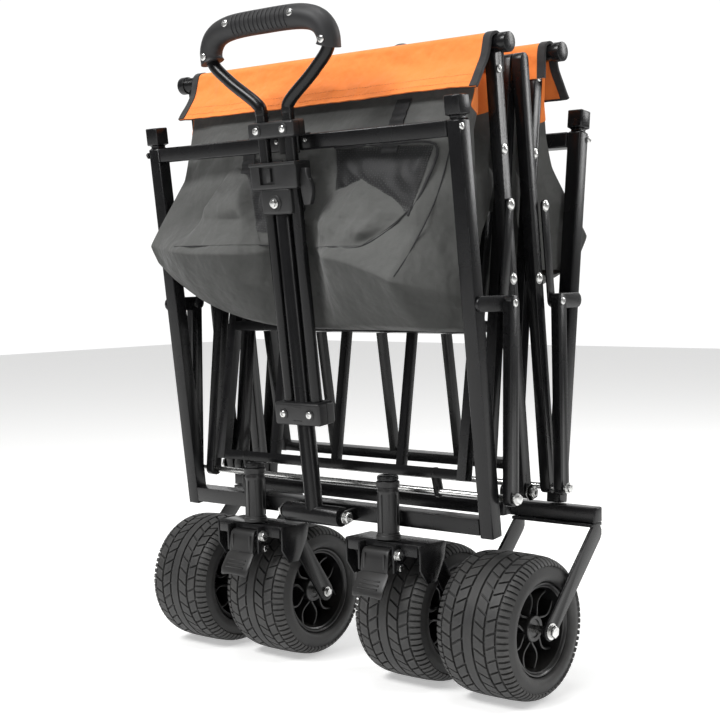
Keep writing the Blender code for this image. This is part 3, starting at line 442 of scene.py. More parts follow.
FINISHES = {
    "powder_coat": powder_coat(),
    "zinc": zinc(),
    "black_plastic": moulded("black moulded plastic", (0.007, 0.007, 0.0075), (0.04, 0.04, 0.04), 0.42),
    "rim_plastic": moulded(
        "satin wheel plastic", (0.005, 0.005, 0.0055), (0.03, 0.03, 0.03), 0.30, 800.0, 0.00006
    ),
    "tyre": tread_rubber(),
    "grip": moulded("soft grip rubber", (0.010, 0.010, 0.011), (0.04, 0.04, 0.04), 0.55, 1500.0),
    "canvas": canvas("dark grey canvas", (0.104, 0.105, 0.101), (0.032, 0.033, 0.031)),
}
ORANGE = canvas("orange canvas", (0.96, 0.262, 0.042), (0.74, 0.165, 0.022))
BINDING = canvas("black binding tape", (0.016, 0.016, 0.017), (0.008, 0.008, 0.009), 0.0018, 0.0002)
NET = netting()
THREAD = moulded("orange thread", (0.80, 0.26, 0.07), (0.85, 0.35, 0.12), 0.6, 2000.0)


# ---------------------------------------------------------------- working by hand
SLOT_OF = {entry["node"]: entry["material_slot"] for entry in frame["record"]["subparts"]}


def body_of(node):
    """The body that carries a CAD node."""
    return frame["nodes"][node]["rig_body"]


def pick(*pieces):
    """Selects these pieces only; the first is active."""
    if bpy.context.mode != "OBJECT":
        bpy.ops.object.mode_set(mode="OBJECT")
    bpy.ops.object.select_all(action="DESELECT")
    for piece in pieces:
        piece.select_set(True)
    bpy.context.view_layer.objects.active = pieces[0]


def edit(piece, mode="FACE"):
    """Opens a piece in edit mode with nothing selected."""
    pick(piece)
    bpy.ops.object.mode_set(mode="EDIT")
    bpy.ops.mesh.select_mode(type=mode)
    bpy.ops.mesh.select_all(action="DESELECT")


def apply_modifiers(piece):
    """Applies every modifier of a piece."""
    pick(piece)
    for modifier in list(piece.modifiers):
        bpy.ops.object.modifier_apply(modifier=modifier.name)


def add_bevel(piece, width, segments=2, angle=40):
    """Rounds the edges sharper than an angle."""
    edges = piece.modifiers.new("edges", "BEVEL")
    edges.width = width
    edges.segments = segments
    edges.limit_method = "ANGLE"
    edges.angle_limit = math.radians(angle)
    edges.harden_normals = False


def settle(piece, name, finish, body, slot=None, angle=38):
    """Applies a finished piece's place and modifiers, and gives it its name, finish and body."""
    pick(piece)
    bpy.ops.object.transform_apply(location=True, rotation=True, scale=True)
    apply_modifiers(piece)
    bpy.ops.object.shade_smooth_by_angle(angle=math.radians(angle))
    piece.name = name
    piece.data.materials.clear()
    piece.data.materials.append(FINISHES[finish] if isinstance(finish, str) else finish)
    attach(piece, body)
    slot or finish
    return piece


def thicken(piece, thickness):
    """Gives a sheet its thickness, half to each side."""
    thick = piece.modifiers.new("thickness", "SOLIDIFY")
    thick.thickness = thickness
    thick.offset = 0
    return thick


def join(pieces):
    """Joins pieces into the first one."""
    pick(*pieces)
    if len(pieces) > 1:
        bpy.ops.object.join()
    return bpy.context.object


def copy_to(master, matrix):
    """A copy with its own mesh, moved there in its mesh."""
    made = bpy.data.objects.new(master.name + "_copy", master.data.copy())
    bpy.context.scene.collection.objects.link(made)
    made.data.transform(matrix)
    if matrix.determinant() < 0:
        made.data.flip_normals()
    return made


def remove(*pieces):
    """Deletes helper pieces."""
    for piece in pieces:
        bpy.data.objects.remove(piece, do_unlink=True)


def facing(axis, at=(0, 0, 0), roll=0.0):
    """Turns a piece made about +X so that it points along an axis, at a place."""
    turn = Vector((1, 0, 0)).rotation_difference(Vector(axis)).to_matrix().to_4x4()
    return Matrix.Translation(Vector(at)) @ turn @ Matrix.Rotation(roll, 4, "X")


def mesh_grid(columns, rows):
    """A flat grid of that many cells, its corners numbered in its X and Y from 0."""
    pick(frame["nodes"]["centre_support"])
    bpy.ops.object.select_all(action="DESELECT")
    bpy.ops.mesh.primitive_grid_add(x_subdivisions=columns, y_subdivisions=rows, size=2)
    piece = bpy.context.object
    for point in piece.data.vertices:
        point.co.x = round((point.co.x + 1) / 2 * columns)
        point.co.y = round((point.co.y + 1) / 2 * rows)
    return piece


def merge(piece, within=1e-5, outward=True):
    """Joins points that meet and turns the faces outward."""
    edit(piece, "VERT")
    bpy.ops.mesh.select_all(action="SELECT")
    bpy.ops.mesh.remove_doubles(threshold=within)
    if outward:
        bpy.ops.mesh.normals_make_consistent(inside=False)
    bpy.ops.object.mode_set(mode="OBJECT")


def turned(profile, steps=48):
    """A shell turned about the X axis through (across, radius) points."""
    piece = mesh_grid(len(profile) - 1, steps)
    for point in piece.data.vertices:
        across, radius = profile[int(point.co.x)]
        t = 2 * math.pi * point.co.y / steps
        point.co = (across, radius * math.cos(t), radius * math.sin(t))
    merge(piece)
    return piece


def box_piece(low, high):
    """A block between two corners, ready to be shaped."""
    low, high = Vector(low), Vector(high)
    bpy.ops.object.select_all(action="DESELECT")
    bpy.ops.mesh.primitive_cube_add(size=1, location=(low + high) / 2, scale=high - low)
    piece = bpy.context.object
    pick(piece)
    bpy.ops.object.transform_apply(location=True, rotation=True, scale=True)
    return piece


def rounded_block(low, high, width=0.003, segments=3):
    """A block between two corners with rounded edges."""
    piece = box_piece(low, high)
    add_bevel(piece, width, segments)
    apply_modifiers(piece)
    return piece


def cut_from(piece, tool):
    """Cuts a tool's shape out of a piece."""
    pick(piece)
    cut = piece.modifiers.new("cut", "BOOLEAN")
    cut.operation = "DIFFERENCE"
    cut.object = tool
    bpy.ops.object.modifier_apply(modifier=cut.name)
    remove(tool)


def soften(node, width=0.0008, segments=2, angle=40):
    """A merged copy of a CAD node, its flats made whole and its edges rounded, stands for it."""
    piece = bpy.data.objects.new(node + "_copy", frame["nodes"][node].data.copy())
    bpy.context.scene.collection.objects.link(piece)
    edit(piece, "VERT")
    bpy.ops.mesh.select_all(action="SELECT")
    bpy.ops.mesh.remove_doubles(threshold=2e-5)
    bpy.ops.mesh.dissolve_limited(angle_limit=math.radians(1))
    bpy.ops.object.mode_set(mode="OBJECT")
    add_bevel(piece, width, segments, angle)
    settle(piece, node + "_finished", SLOT_OF[node], body_of(node))
    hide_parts(node)
    return piece


# ---------------------------------------------------------------- fasteners
def make_rivet():
    """Domed rivet head on a thin washer, standing out along +X."""
    head = [(0.0, 0.0068), (0.0007, 0.0068), (0.0008, 0.0058), (0.0013, 0.0056)]
    for step in range(1, 7):
        t = math.pi / 2 * step / 6
        head.append((0.0013 + 0.0021 * math.sin(t), 0.0056 * math.cos(t)))
    rivet = turned([(0.0, 0.0)] + head, 28)
    rivet.name = "rivet"
    return rivet


def make_pan_screw():
    """Pan-head screw with a cross recess."""
    rim = [(0.0, 0.0), (0.0, 0.0044), (0.0009, 0.0045)]
    for step in range(1, 6):
        t = math.pi / 2 * step / 5
        rim.append((0.0009 + 0.0014 * math.sin(t), 0.0045 * math.cos(t) ** 0.8))
    screw = turned(rim[:-1] + [(0.0023, 0.0)], 28)
    for turn in (0, math.pi / 2):
        slot = box_piece((0.0012, -0.0026, -0.0005), (0.0040, 0.0026, 0.0005))
        slot.data.transform(Matrix.Rotation(turn, 4, "X"))
        cut_from(screw, slot)
    screw.name = "pan_screw"
    return screw


def make_hex_head(across=0.0075, height=0.0052, washer=0.0098):
    """Hexagon head on a washer, with a domed crown."""
    flat = turned([(0, 0), (0, washer), (0.0012, washer), (0.0013, washer - 0.0004), (0.0013, 0)], 36)
    bpy.ops.object.select_all(action="DESELECT")
    bpy.ops.mesh.primitive_cylinder_add(vertices=6, radius=across, depth=height)
    head = bpy.context.object
    edit(head)
    bpy.ops.object.mode_set(mode="OBJECT")
    for face in head.data.polygons:
        face.select = face.normal.z > 0.9
    bpy.ops.object.mode_set(mode="EDIT")
    bpy.ops.mesh.inset(thickness=across * 0.16, depth=height * 0.10)
    bpy.ops.mesh.inset(thickness=across * 0.10, depth=0)
    bpy.ops.mesh.inset(thickness=across * 0.30, depth=height * 0.12)
    bpy.ops.object.mode_set(mode="OBJECT")
    head.data.transform(Matrix.Rotation(math.pi / 2, 4, "Y"))
    head.data.transform(Matrix.Translation((0.0013 + height / 2, 0, 0)))
    add_bevel(head, 0.0003, 2, 25)
    apply_modifiers(head)
    return join([flat, head])


RIVET, PAN_SCREW, HEX_HEAD = make_rivet(), make_pan_screw(), make_hex_head()
MASTERS = [RIVET, PAN_SCREW, HEX_HEAD]


def fasten(name, body, places, slot="zinc"):
    """Copies of fasteners, joined for one body; places are (master, matrix)."""
    piece = join([copy_to(master, matrix) for master, matrix in places])
    return settle(piece, name, slot, body)


# ---------------------------------------------------------------- wheels
TYRE_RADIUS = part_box("rear_tyre_right")[1].z / 2
TYRE_HALF = (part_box("rear_tyre_right")[1].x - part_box("rear_tyre_right")[0].x) / 2
RIM_RADIUS = (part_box("rear_rim_right")[1].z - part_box("rear_rim_right")[0].z) / 2
RIM_HALF = (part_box("rear_rim_right")[1].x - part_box("rear_rim_right")[0].x) / 2
TREAD_DEPTH = 0.0026
PITCHES = 34
PITCH_ROWS = 8
# edges of the tread's bands, along the outline from the crown's middle, half a tyre
RIB, RIB_GROOVE = 0.0060, 0.0083
INNER_BLOCK, BLOCK_GROOVE = 0.0220, 0.0243
OUTER_BLOCK, LUG_GROOVE, LUG = 0.0365, 0.0378, 0.0515


def tyre_outline():
    """(along, across, radius) of half a tyre's carcass, from the crown to the bead."""
    top = TYRE_RADIUS - TREAD_DEPTH
    knots = [
        (0.0, top),
        (TYRE_HALF * 0.40, top - 0.0002),
        (TYRE_HALF * 0.68, top - 0.0012),
        (TYRE_HALF * 0.82, top - 0.0035),
        (TYRE_HALF * 0.915, top - 0.0078),
        (TYRE_HALF * 0.952, top - 0.0130),
        (TYRE_HALF * 0.985, top - 0.0175),
        (TYRE_HALF * 0.990, top - 0.0205),
        (TYRE_HALF * 0.955, top - 0.0250),
        (TYRE_HALF * 0.900, RIM_RADIUS + 0.0012),
        (RIM_HALF - 0.0012, RIM_RADIUS + 0.0006),
    ]
    points, along = [], 0.0
    for (x0, r0), (x1, r1) in zip(knots, knots[1:]):
        points.append((along, x0, r0))
        along += math.hypot(x1 - x0, r1 - r0)
    points.append((along, *knots[-1]))
    return points


OUTLINE = tyre_outline()


def on_outline(along):
    """(across, radius) at a distance along the outline, on either side of the crown."""
    reach = abs(along)
    side = 1 if along >= 0 else -1
    for (a0, x0, r0), (a1, x1, r1) in zip(OUTLINE, OUTLINE[1:]):
        if reach <= a1 + 1e-9:
            t = (reach - a0) / (a1 - a0)
            return side * (x0 + (x1 - x0) * t), r0 + (r1 - r0) * t
    return side * OUTLINE[-1][1], OUTLINE[-1][2]


def is_block(along, row):
    """Whether a cell of the tread stands up as a block."""
    reach = abs(along)
    shift = 0 if along > 0 else PITCH_ROWS // 2
    in_pitch = (row + shift) % PITCH_ROWS
    if reach < RIB:
        return True
    if RIB_GROOVE < reach < INNER_BLOCK:
        return in_pitch != 0
    if BLOCK_GROOVE < reach < OUTER_BLOCK:
        return in_pitch != 4
    if LUG_GROOVE < reach < LUG:
        return in_pitch % 4 != 2
    return False


def make_tyre():
    """One tyre about the X axis: a wrapped grid whose blocks are raised from the carcass."""
    half = [0.0, 0.0030, RIB, RIB_GROOVE, 0.0125, 0.0172, INNER_BLOCK, BLOCK_GROOVE]
    half += [0.0284, 0.0325, OUTER_BLOCK, LUG_GROOVE, 0.0412, 0.0446, 0.0481, LUG, 0.0545]
    end = OUTLINE[-1][0]
    half += [LUG + (end - LUG) * share for share in (0.28, 0.34, 0.50, 0.68, 0.76, 0.88, 1.0)]
    bands = [-a for a in half[:0:-1]] + half
    rows = PITCHES * PITCH_ROWS
    tyre = mesh_grid(len(bands) - 1, rows)
    raised = []
    for face in tyre.data.polygons:
        column, row = int(face.center.x), int(face.center.y)
        raised.append(is_block((bands[column] + bands[column + 1]) / 2, row))
    for point in tyre.data.vertices:
        along = bands[int(point.co.x)]
        reach = abs(along)
        slant = 0.62 * min(reach, INNER_BLOCK)
        slant -= 0.45 * (min(max(reach, BLOCK_GROOVE), OUTER_BLOCK) - BLOCK_GROOVE)
        x, radius = on_outline(along)
        t = 2 * math.pi * point.co.y / rows + slant / TYRE_RADIUS
        point.co = (x, radius * math.cos(t), radius * math.sin(t))
    merge(tyre, 2e-5)
    edit(tyre)
    bpy.ops.object.mode_set(mode="OBJECT")
    for face, up in zip(tyre.data.polygons, raised):
        face.select = up
    bpy.ops.object.mode_set(mode="EDIT")
    bpy.ops.mesh.inset(thickness=0.00045, depth=TREAD_DEPTH, use_even_offset=True)
    bpy.ops.mesh.select_all(action="DESELECT")
    bpy.ops.mesh.select_mode(type="EDGE")
    bpy.ops.mesh.select_non_manifold(extend=False)
    bpy.ops.mesh.bridge_edge_loops()
    bpy.ops.mesh.select_all(action="SELECT")
    bpy.ops.mesh.normals_make_consistent(inside=False)
    bpy.ops.object.mode_set(mode="OBJECT")
    for point in tyre.data.vertices:
        far = math.hypot(point.co.y, point.co.z)
        if far > TYRE_RADIUS:
            point.co.y *= TYRE_RADIUS / far
            point.co.z *= TYRE_RADIUS / far
    return tyre


def make_rim():
    """A deep dished rim: rolled lips, a web, a hub with its cap, and pairs of curved spokes."""
    lip, wall = RIM_HALF, RIM_RADIUS - 0.0004
    half = [
        (lip * 0.10, wall),
        (lip - 0.0030, wall),
        (lip - 0.0004, wall + 0.0004),
        (lip + 0.0006, wall - 0.0006),
        (lip + 0.0006, wall - 0.0020),
        (lip - 0.0006, wall - 0.0032),
        (lip - 0.0022, wall - 0.0040),
        (lip - 0.0030, wall - 0.0056),
        (lip * 0.55, wall - 0.0085),
        (lip * 0.10, wall - 0.0100),
    ]
    barrel = turned(half + [(-x, r) for x, r in half[::-1]] + [half[0]], 72)
    web = turned(
        [
            (-0.0020, 0.0120),
            (-0.0020, wall - 0.0090),
            (0.0020, wall - 0.0090),
            (0.0020, 0.0120),
            (-0.0020, 0.0120),
        ],
        60,
    )
    hub_end = lip - 0.0090
    hub = [
        (0.0, 0.0175),
        (hub_end - 0.0030, 0.0165),
        (hub_end - 0.0006, 0.0158),
        (hub_end, 0.0148),
        (hub_end - 0.0004, 0.0110),
        (hub_end - 0.0020, 0.0100),
        (hub_end - 0.0020, 0.0048),
        (0.0, 0.0048),
    ]
    hub = turned(hub + [(-x, r) for x, r in hub[-2:0:-1]] + [hub[0]], 48)
    pieces = [barrel, web, hub]
    inner, outer = 0.0155, wall - 0.0070
    for bow in (1, -1):
        blade = mesh_grid(12, 4)
        for point in blade.data.vertices:
            t = point.co.x / 12
            radius = inner + (outer - inner) * t
            deep = (point.co.y - 2) / 2
            fill = (hub_end - 0.004) * (1 - t) + (lip - 0.0115) * t
            turn = bow * (0.10 + 0.34 * math.sin(math.pi * t) * (1 - 0.35 * t) + 0.10 * t)
            point.co = (deep * fill, radius * math.cos(turn), radius * math.sin(turn))
        thicken(blade, 0.0030)
        add_bevel(blade, 0.0008, 2, 50)
        apply_modifiers(blade)
        for step in range(5):
            pieces.append(copy_to(blade, Matrix.Rotation(2 * math.pi * step / 5, 4, "X")))
        remove(blade)
    return join(pieces)


def fit_wheels():
    """The tyre and the rim are made once and copied to all four wheels."""
    tyre, rim = make_tyre(), make_rim()
    for node in ("rear_{}_left", "rear_{}_right", "caster_{}_left", "caster_{}_right"):
        for kind, master in (("tyre", tyre), ("rim", rim)):
            name = node.format(kind)
            low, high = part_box(name)
            turn = Matrix.Rotation(0.31 * len(name) + low.x, 4, "X")
            piece = copy_to(master, Matrix.Translation((low + high) / 2) @ turn)
            settle(piece, name + "_finished", SLOT_OF[name], body_of(name), angle=32)
            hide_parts(name)
    remove(tyre, rim)


def fit_axles():
    """Each axle keeps its shaft, with a washer and a hexagon head at both ends."""
    for side in SIDES:
        for kind in ("rear", "caster"):
            node = f"{kind}_axle_{side}"
            low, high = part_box(node)
            middle = (low + high) / 2
            shaft = [(low.x + 0.002, 0), (low.x + 0.002, 0.0046), (high.x - 0.002, 0.0046)]
            bar = turned(shaft + [(high.x - 0.002, 0)], 20)
            bar.data.transform(Matrix.Translation((0, middle.y, middle.z)))
            places = []
            for s, x in ((-1, low.x + 0.0031), (1, high.x - 0.0031)):
                inner = s * middle.x < 0 or kind == "caster"
                spot = facing((s, 0, 0), (x, middle.y, middle.z), 0.4)
                places.append(copy_to(HEX_HEAD, spot @ Matrix.Scale(0.66 if inner else 1.0, 4)))
            piece = settle(join([bar] + places), node + "_finished", "zinc", body_of(node))
            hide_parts(node)


# ---------------------------------------------------------------- pull handle
FORWARD = (0, -1, 0)  # towards the front, or the handle's own front in its directions
HINGE_BOLT_X = 0.0511
LEG_RADIUS = 0.0075
LEG_INSET = 0.0155  # from a clamp's end to the middle of its leg
GRIP_RADIUS = 0.0139
GRIP_DEPTH = 1.06  # the grip's section is a little deeper than wide
RIB_STEP = 0.0185  # between the grip's ribs, as a share of its length
HINGE = Vector(JOINTS["handle_fold"]["pos_m"])
ALONG = Vector(JOINTS["handle_extend"]["axis"])
BACK = ALONG.cross(Vector((1, 0, 0)))
HANDLE = Matrix.Translation(HINGE) @ Matrix(((1, 0, 0), tuple(BACK), tuple(ALONG))).transposed().to_4x4()


def in_handle(node):
    """A node's lowest and highest corners across, behind and along the handle."""
    back = HANDLE.inverted() @ frame["nodes"][node].matrix_world
    points = [back @ corner.co for corner in frame["nodes"][node].data.vertices]
    low = Vector(min(point[i] for point in points) for i in range(3))
    return low, Vector(max(point[i] for point in points) for i in range(3))


def on_handle(piece):
    """Moves a piece made in the handle's own directions onto the handle."""
    piece.data.transform(HANDLE)
    return piece


def smooth_path(knots, steps=8):
    """Points on a smooth curve through the knots."""
    points = []
    for i in range(len(knots) - 1):
        before, start = Vector(knots[max(i - 1, 0)]), Vector(knots[i])
        stop, after = Vector(knots[i + 1]), Vector(knots[min(i + 2, len(knots) - 1)])
        for k in range(steps):
            t = k / steps
            swing = (stop - before) / 2, (after - start) / 2
            here = start * (2 * t**3 - 3 * t**2 + 1) + swing[0] * (t**3 - 2 * t**2 + t)
            points.append(here + stop * (3 * t**2 - 2 * t**3) + swing[1] * (t**3 - t**2))
    return points + [Vector(knots[-1])]


def swept(path, radius, sides=20, flatten=1.0):
    """A round bar along a path; radius may be a function of the share of the way along."""
    piece = mesh_grid(len(path) - 1, sides)
    lengths = [0.0]
    for one, two in zip(path, path[1:]):
        lengths.append(lengths[-1] + (two - one).length)
    guide = Vector((0, 1, 0))
    rings = []
    for i, here in enumerate(path):
        ahead = (path[min(i + 1, len(path) - 1)] - path[max(i - 1, 0)]).normalized()
        side = ahead.cross(guide).normalized()
        rings.append((here, side, side.cross(ahead), lengths[i] / lengths[-1]))
    for point in piece.data.vertices:
        here, side, up, share = rings[int(point.co.x)]
        size = radius(share) if callable(radius) else radius
        t = 2 * math.pi * point.co.y / sides
        point.co = here + side * size * math.cos(t) + up * size * flatten * math.sin(t)
    merge(piece, outward=False)
    edit(piece, "EDGE")
    bpy.ops.mesh.select_non_manifold(extend=False)
    bpy.ops.mesh.edge_face_add()
    bpy.ops.object.mode_set(mode="OBJECT")
    merge(piece)
    return piece


def handle_route():
    """Half of the loop's centre line in the handle's plane, from the foot of a leg to the top."""
    low, high = in_handle("handle_tube")
    clamp_low, clamp_high = in_handle("upper_clamp")
    grip_low, _ = in_handle("handle_grip")
    leg = clamp_high.x - LEG_INSET
    wide = high.x - LEG_RADIUS
    top = high.z - LEG_RADIUS
    neck = clamp_high.z + 0.009
    return [
        (leg, 0, low.z),
        (leg, 0, clamp_low.z),
        (leg, 0, neck),
        (leg + 0.006, 0, neck + 0.014),
        (wide - 0.026, 0, clamp_low.z + 0.072),
        (wide, 0, grip_low.z + 0.002),
        (wide - 0.006, 0, top - 0.014),
        (wide - 0.034, 0, top - 0.002),
        (0, 0, top),
    ]


def on_path(path, share):
    """The point at a share of the way along a path."""
    index = share * (len(path) - 1)
    return path[int(index)].lerp(path[int(index) + 1], index % 1)


def grip_radius(share):
    """The grip swells at the palm and has a small lip at both ends."""
    palm = 0.0013 * math.exp(-(((share - 0.5) / 0.16) ** 2))
    ends = math.exp(-((share / 0.012) ** 2)) + math.exp(-(((1 - share) / 0.012) ** 2))
    return GRIP_RADIUS + palm + 0.0011 * ends - 0.0006 * math.cos(4 * math.pi * share)


def grip_rib(held, share):
    """A raised rib round the front of the grip, thinner at its ends."""
    at = on_path(held, share)
    radius = grip_radius(share) + 0.0002
    arc = []
    for turn in range(-50, 61, 11):
        t = math.radians(turn)
        arc.append(at + Vector((0, -radius * GRIP_DEPTH * math.cos(t), radius * math.sin(t))))
    return swept(arc, lambda s: 0.0011 * math.sqrt(max(0.05, 1 - (2 * s - 1) ** 4)), 8)


def pull_handle():
    """The bent tube of the handle, with its ribbed grip and the grip's four screws."""
    half = [Vector(knot) for knot in handle_route()]
    other = [Vector((-knot.x, 0, knot.z)) for knot in half]
    path = smooth_path(other + half[-2::-1], 9)
    tube = on_handle(swept(path, LEG_RADIUS))
    settle(tube, "handle_tube_finished", "powder_coat", "handle_slide")
    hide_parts("handle_tube")
    foot = in_handle("handle_grip")[0].z
    held = [point for point in path if point.z > foot + 0.001]
    pieces = [swept(held, grip_radius, 28, GRIP_DEPTH)]
    pieces += [grip_rib(held, 0.5 + step * RIB_STEP) for step in range(-6, 7)]
    grip = settle(on_handle(join(pieces)), "handle_grip_finished", "grip", "handle_slide", angle=50)
    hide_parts("handle_grip")
    screws = []
    for share, turn in ((0.045, 0.0), (0.36, 0.30), (0.64, 0.30), (0.955, 0.0)):
        out = Vector((0, -math.cos(turn), math.sin(turn)))
        at = on_path(held, share) + out * (grip_radius(share) * GRIP_DEPTH - 0.0006)
        screws.append((PAN_SCREW, HANDLE @ facing(out, at, share * 5)))
    fasten("grip_screws", "handle_slide", screws)


def boss(x, y, z, radius=0.0068, height=0.0012):
    """A low round boss on a front face, under a screw."""
    ring = turned(
        [(0, 0), (0, radius), (height * 0.7, radius), (height, radius - 0.0005), (height, 0)], 32
    )
    ring.data.transform(facing(FORWARD, (x, y + 0.0001, z)))
    return ring


def clamp(node, body, screw_x, ribs=0):
    """A moulded clamp across the legs, its corners rounded, with a boss under each screw."""
    low, high = in_handle(node)
    block = rounded_block(low, high, 0.0035, 4)
    half = 0.0004
    seam = box_piece((low.x - 0.01, -half, low.z - 0.01), (high.x + 0.01, half, high.z + 0.01))
    core = box_piece((low.x + 0.0012, -half, low.z - 0.02), (high.x - 0.0012, half, high.z + 0.02))
    cut_from(seam, core)
    cut_from(block, seam)
    z = (low.z + high.z) / 2
    parts = [block]
    for i in range(ribs):
        y = low.y - 0.0006
        rib_z = low.z + (high.z - low.z) * (0.2 + 0.6 * i / max(ribs - 1, 1))
        corner, far = (-0.007, y, rib_z - 0.0008), (0.007, y + 0.002, rib_z + 0.0008)
        parts.append(rounded_block(corner, far, 0.0004, 2))
    screws = []
    for x in (-screw_x, screw_x):
        parts.append(boss(x, low.y, z))
        screws.append((PAN_SCREW, HANDLE @ facing(FORWARD, (x, low.y - 0.0009, z), x * 40)))
    piece = settle(on_handle(join(parts)), node + "_finished", "black_plastic", body)
    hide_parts(node)
    fasten(node + "_screws", body, screws)


def handle_lock():
    """The lock's body with its window and pawl, and the collar under it with a screw."""
    low, high = in_handle("lock_body")
    split = low.z + (high.z - low.z) * 0.48
    body = rounded_block((low.x, low.y, split), high, 0.0032, 4)
    window = ((-0.021, low.y - 0.01, split + 0.0065), (0.0035, low.y + 0.0035, high.z - 0.005))
    cut_from(body, box_piece(*window))
    pawl = ((-0.011, low.y + 0.0005, split + 0.009), (-0.004, low.y + 0.006, high.z - 0.007))
    ledge = (
        (low.x - 0.0008, low.y - 0.0008, high.z - 0.0042),
        (high.x + 0.0008, low.y + 0.02, high.z),
    )
    collar = (
        (low.x + 0.013, low.y + 0.0008, low.z),
        (high.x - 0.013, high.y - 0.0008, split + 0.002),
    )
    z = low.z + 0.014
    parts = [
        body,
        rounded_block(*pawl, 0.001, 2),
        rounded_block(*ledge, 0.0012, 2),
        rounded_block(*collar, 0.004, 4),
        boss(0, low.y + 0.0008, z, 0.0095, 0.0016),
        boss(0, low.y + 0.0002, z, 0.0062, 0.0016),
    ]
    piece = settle(on_handle(join(parts)), "lock_body_finished", "black_plastic", "handle_base")
    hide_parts("lock_body")
    screw = HANDLE @ facing(FORWARD, (0, low.y - 0.0012, z)) @ Matrix.Scale(0.62, 4)
    fasten("lock_screw", "handle_base", [(HEX_HEAD, screw)])


def lock_lever():
    """The bowed lever at the lock's side, with four grip lines."""
    low, high = in_handle("lock_lever")
    steps = 6
    lever = mesh_grid(steps, steps)
    for point in lever.data.vertices:
        u, v = point.co.x / steps, point.co.y / steps
        reach = (high.x - low.x) * (0.62 + 0.38 * math.sin(math.pi * min(v * 1.15, 1)))
        point.co = (
            low.x + u * reach,
            low.y + 0.0045 + 0.0035 * (1 - u) - 0.003 * math.sin(math.pi * v),
            low.z + v * (high.z - low.z),
        )
    thicken(lever, 0.0075)
    add_bevel(lever, 0.0022, 4, 50)
    apply_modifiers(lever)
    parts = [lever]
    for i in range(4):
        z = low.z + (high.z - low.z) * (0.32 + 0.12 * i)
        corner, far = (high.x - 0.0085, low.y + 0.0001, z), (high.x - 0.0012, low.y + 0.0016, z + 0.0014)
        parts.append(rounded_block(corner, far, 0.0005, 2))
    piece = settle(on_handle(join(parts)), "lock_lever_finished", "black_plastic", "lock_lever")
    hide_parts("lock_lever")


def handle_fittings():
    """Both clamps, the bolt through the handle's hinge, and the clip's plate with its screws."""
    clamp("upper_clamp", "handle_slide", 0.0215)
    clamp("lower_clamp", "handle_slide", 0.0215, ribs=2)
    ends = []
    for s in SIDES.values():
        at = (s * HINGE_BOLT_X, HINGE.y, HINGE.z)
        ends.append((HEX_HEAD, facing((s, 0, 0), at) @ Matrix.Scale(0.9, 4)))
    fasten("handle_hinge_bolt", "front_frame", ends)
    clip_low, clip_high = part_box("handle_clip")
    middle_z = (clip_low.z + clip_high.z) / 2
    wings = rounded_block(
        (-0.030, clip_high.y - 0.0004, middle_z - 0.008),
        (0.030, clip_high.y + 0.0030, middle_z + 0.008),
        0.001,
        2,
    )
    settle(wings, "clip_wings", "black_plastic", "front_frame")
    screws = [
        (PAN_SCREW, facing(FORWARD, (s * 0.0232, clip_high.y, middle_z)) @ Matrix.Scale(0.8, 4))
        for s in SIDES.values()
    ]
    fasten("clip_screws", "front_frame", screws)


# ---------------------------------------------------------------- casters and brakes
def kingpin(side):
    """The ribbed sleeve on the base rail, with its flanges, and the pin's flanged head."""
    x, y, foot = JOINTS[f"swivel_{side}"]["pos_m"]
    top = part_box(f"caster_fork_{side}")[1].z
    pin = Matrix.Translation((x, y, 0))
    upright = Matrix.Rotation(-math.pi / 2, 4, "Y")
    profile = [
        (foot, 0.0122),
        (foot, 0.0150),
        (foot + 0.0035, 0.0150),
        (foot + 0.0048, 0.0138),
        (foot + 0.0062, 0.0138),
        (foot + 0.0075, 0.0124),
        (top - 0.0200, 0.0124),
        (top - 0.0185, 0.0132),
        (top - 0.0165, 0.0132),
        (top - 0.0150, 0.0124),
        (top - 0.0130, 0.0124),
        (top - 0.0118, 0.0142),
        (top - 0.0062, 0.0142),
        (top - 0.0052, 0.0132),
        (top - 0.0052, 0.0122),
    ]
    sleeve = turned(profile + [profile[0]], 40)
    sleeve.data.transform(pin @ upright)
    ribs = [sleeve]
    for turn in range(0, 360, 45):
        rib = rounded_block((0.0118, -0.0008, foot + 0.008), (0.0134, 0.0008, top - 0.021), 0.0004, 2)
        rib.data.transform(pin @ Matrix.Rotation(math.radians(turn), 4, "Z"))
        ribs.append(rib)
    settle(join(ribs), f"kingpin_sleeve_{side}", "black_plastic", "front_frame")
    dish = [(0.0034, 0.0112), (0.0036, 0.0085), (0.0020, 0.0070), (0.0020, 0)]
    crown = turned([(0, 0), (0, 0.0128), (0.0020, 0.0128)] + dish, 40)
    crown.data.transform(pin @ Matrix.Translation((0, 0, top - 0.0015)) @ upright)
    lobes = [crown]
    for turn in range(0, 360, 60):
        lobe = rounded_block((0.0095, -0.0028, top - 0.0035), (0.0138, 0.0028, top + 0.0002), 0.001, 2)
        lobe.data.transform(pin @ Matrix.Rotation(math.radians(turn + 10), 4, "Z"))
        lobes.append(lobe)
    settle(join(lobes), f"kingpin_crown_{side}", "powder_coat", f"caster_{side}")


def fork_cheek(x, front, top, s):
    """A side cheek of the fork plate: an outline of (back, down) places, thickened."""
    outline = [(-0.0005, -0.001), (0, -0.030), (0.012, -0.047)]
    outline += [(0.030, -0.047), (0.046, -0.020), (0.050, -0.001)]
    cheek = mesh_grid(1, len(outline) - 1)
    for point in cheek.data.vertices:
        back, down = outline[int(point.co.y)]
        if point.co.x > 0:
            back, down = 0.050 * point.co.y / (len(outline) - 1), -0.001
        point.co = (x - s * 0.0008, front + back, top + down)
    thicken(cheek, 0.0026)
    apply_modifiers(cheek)
    merge(cheek, 1e-6)
    add_bevel(cheek, 0.0008, 2, 45)
    apply_modifiers(cheek)
    return cheek


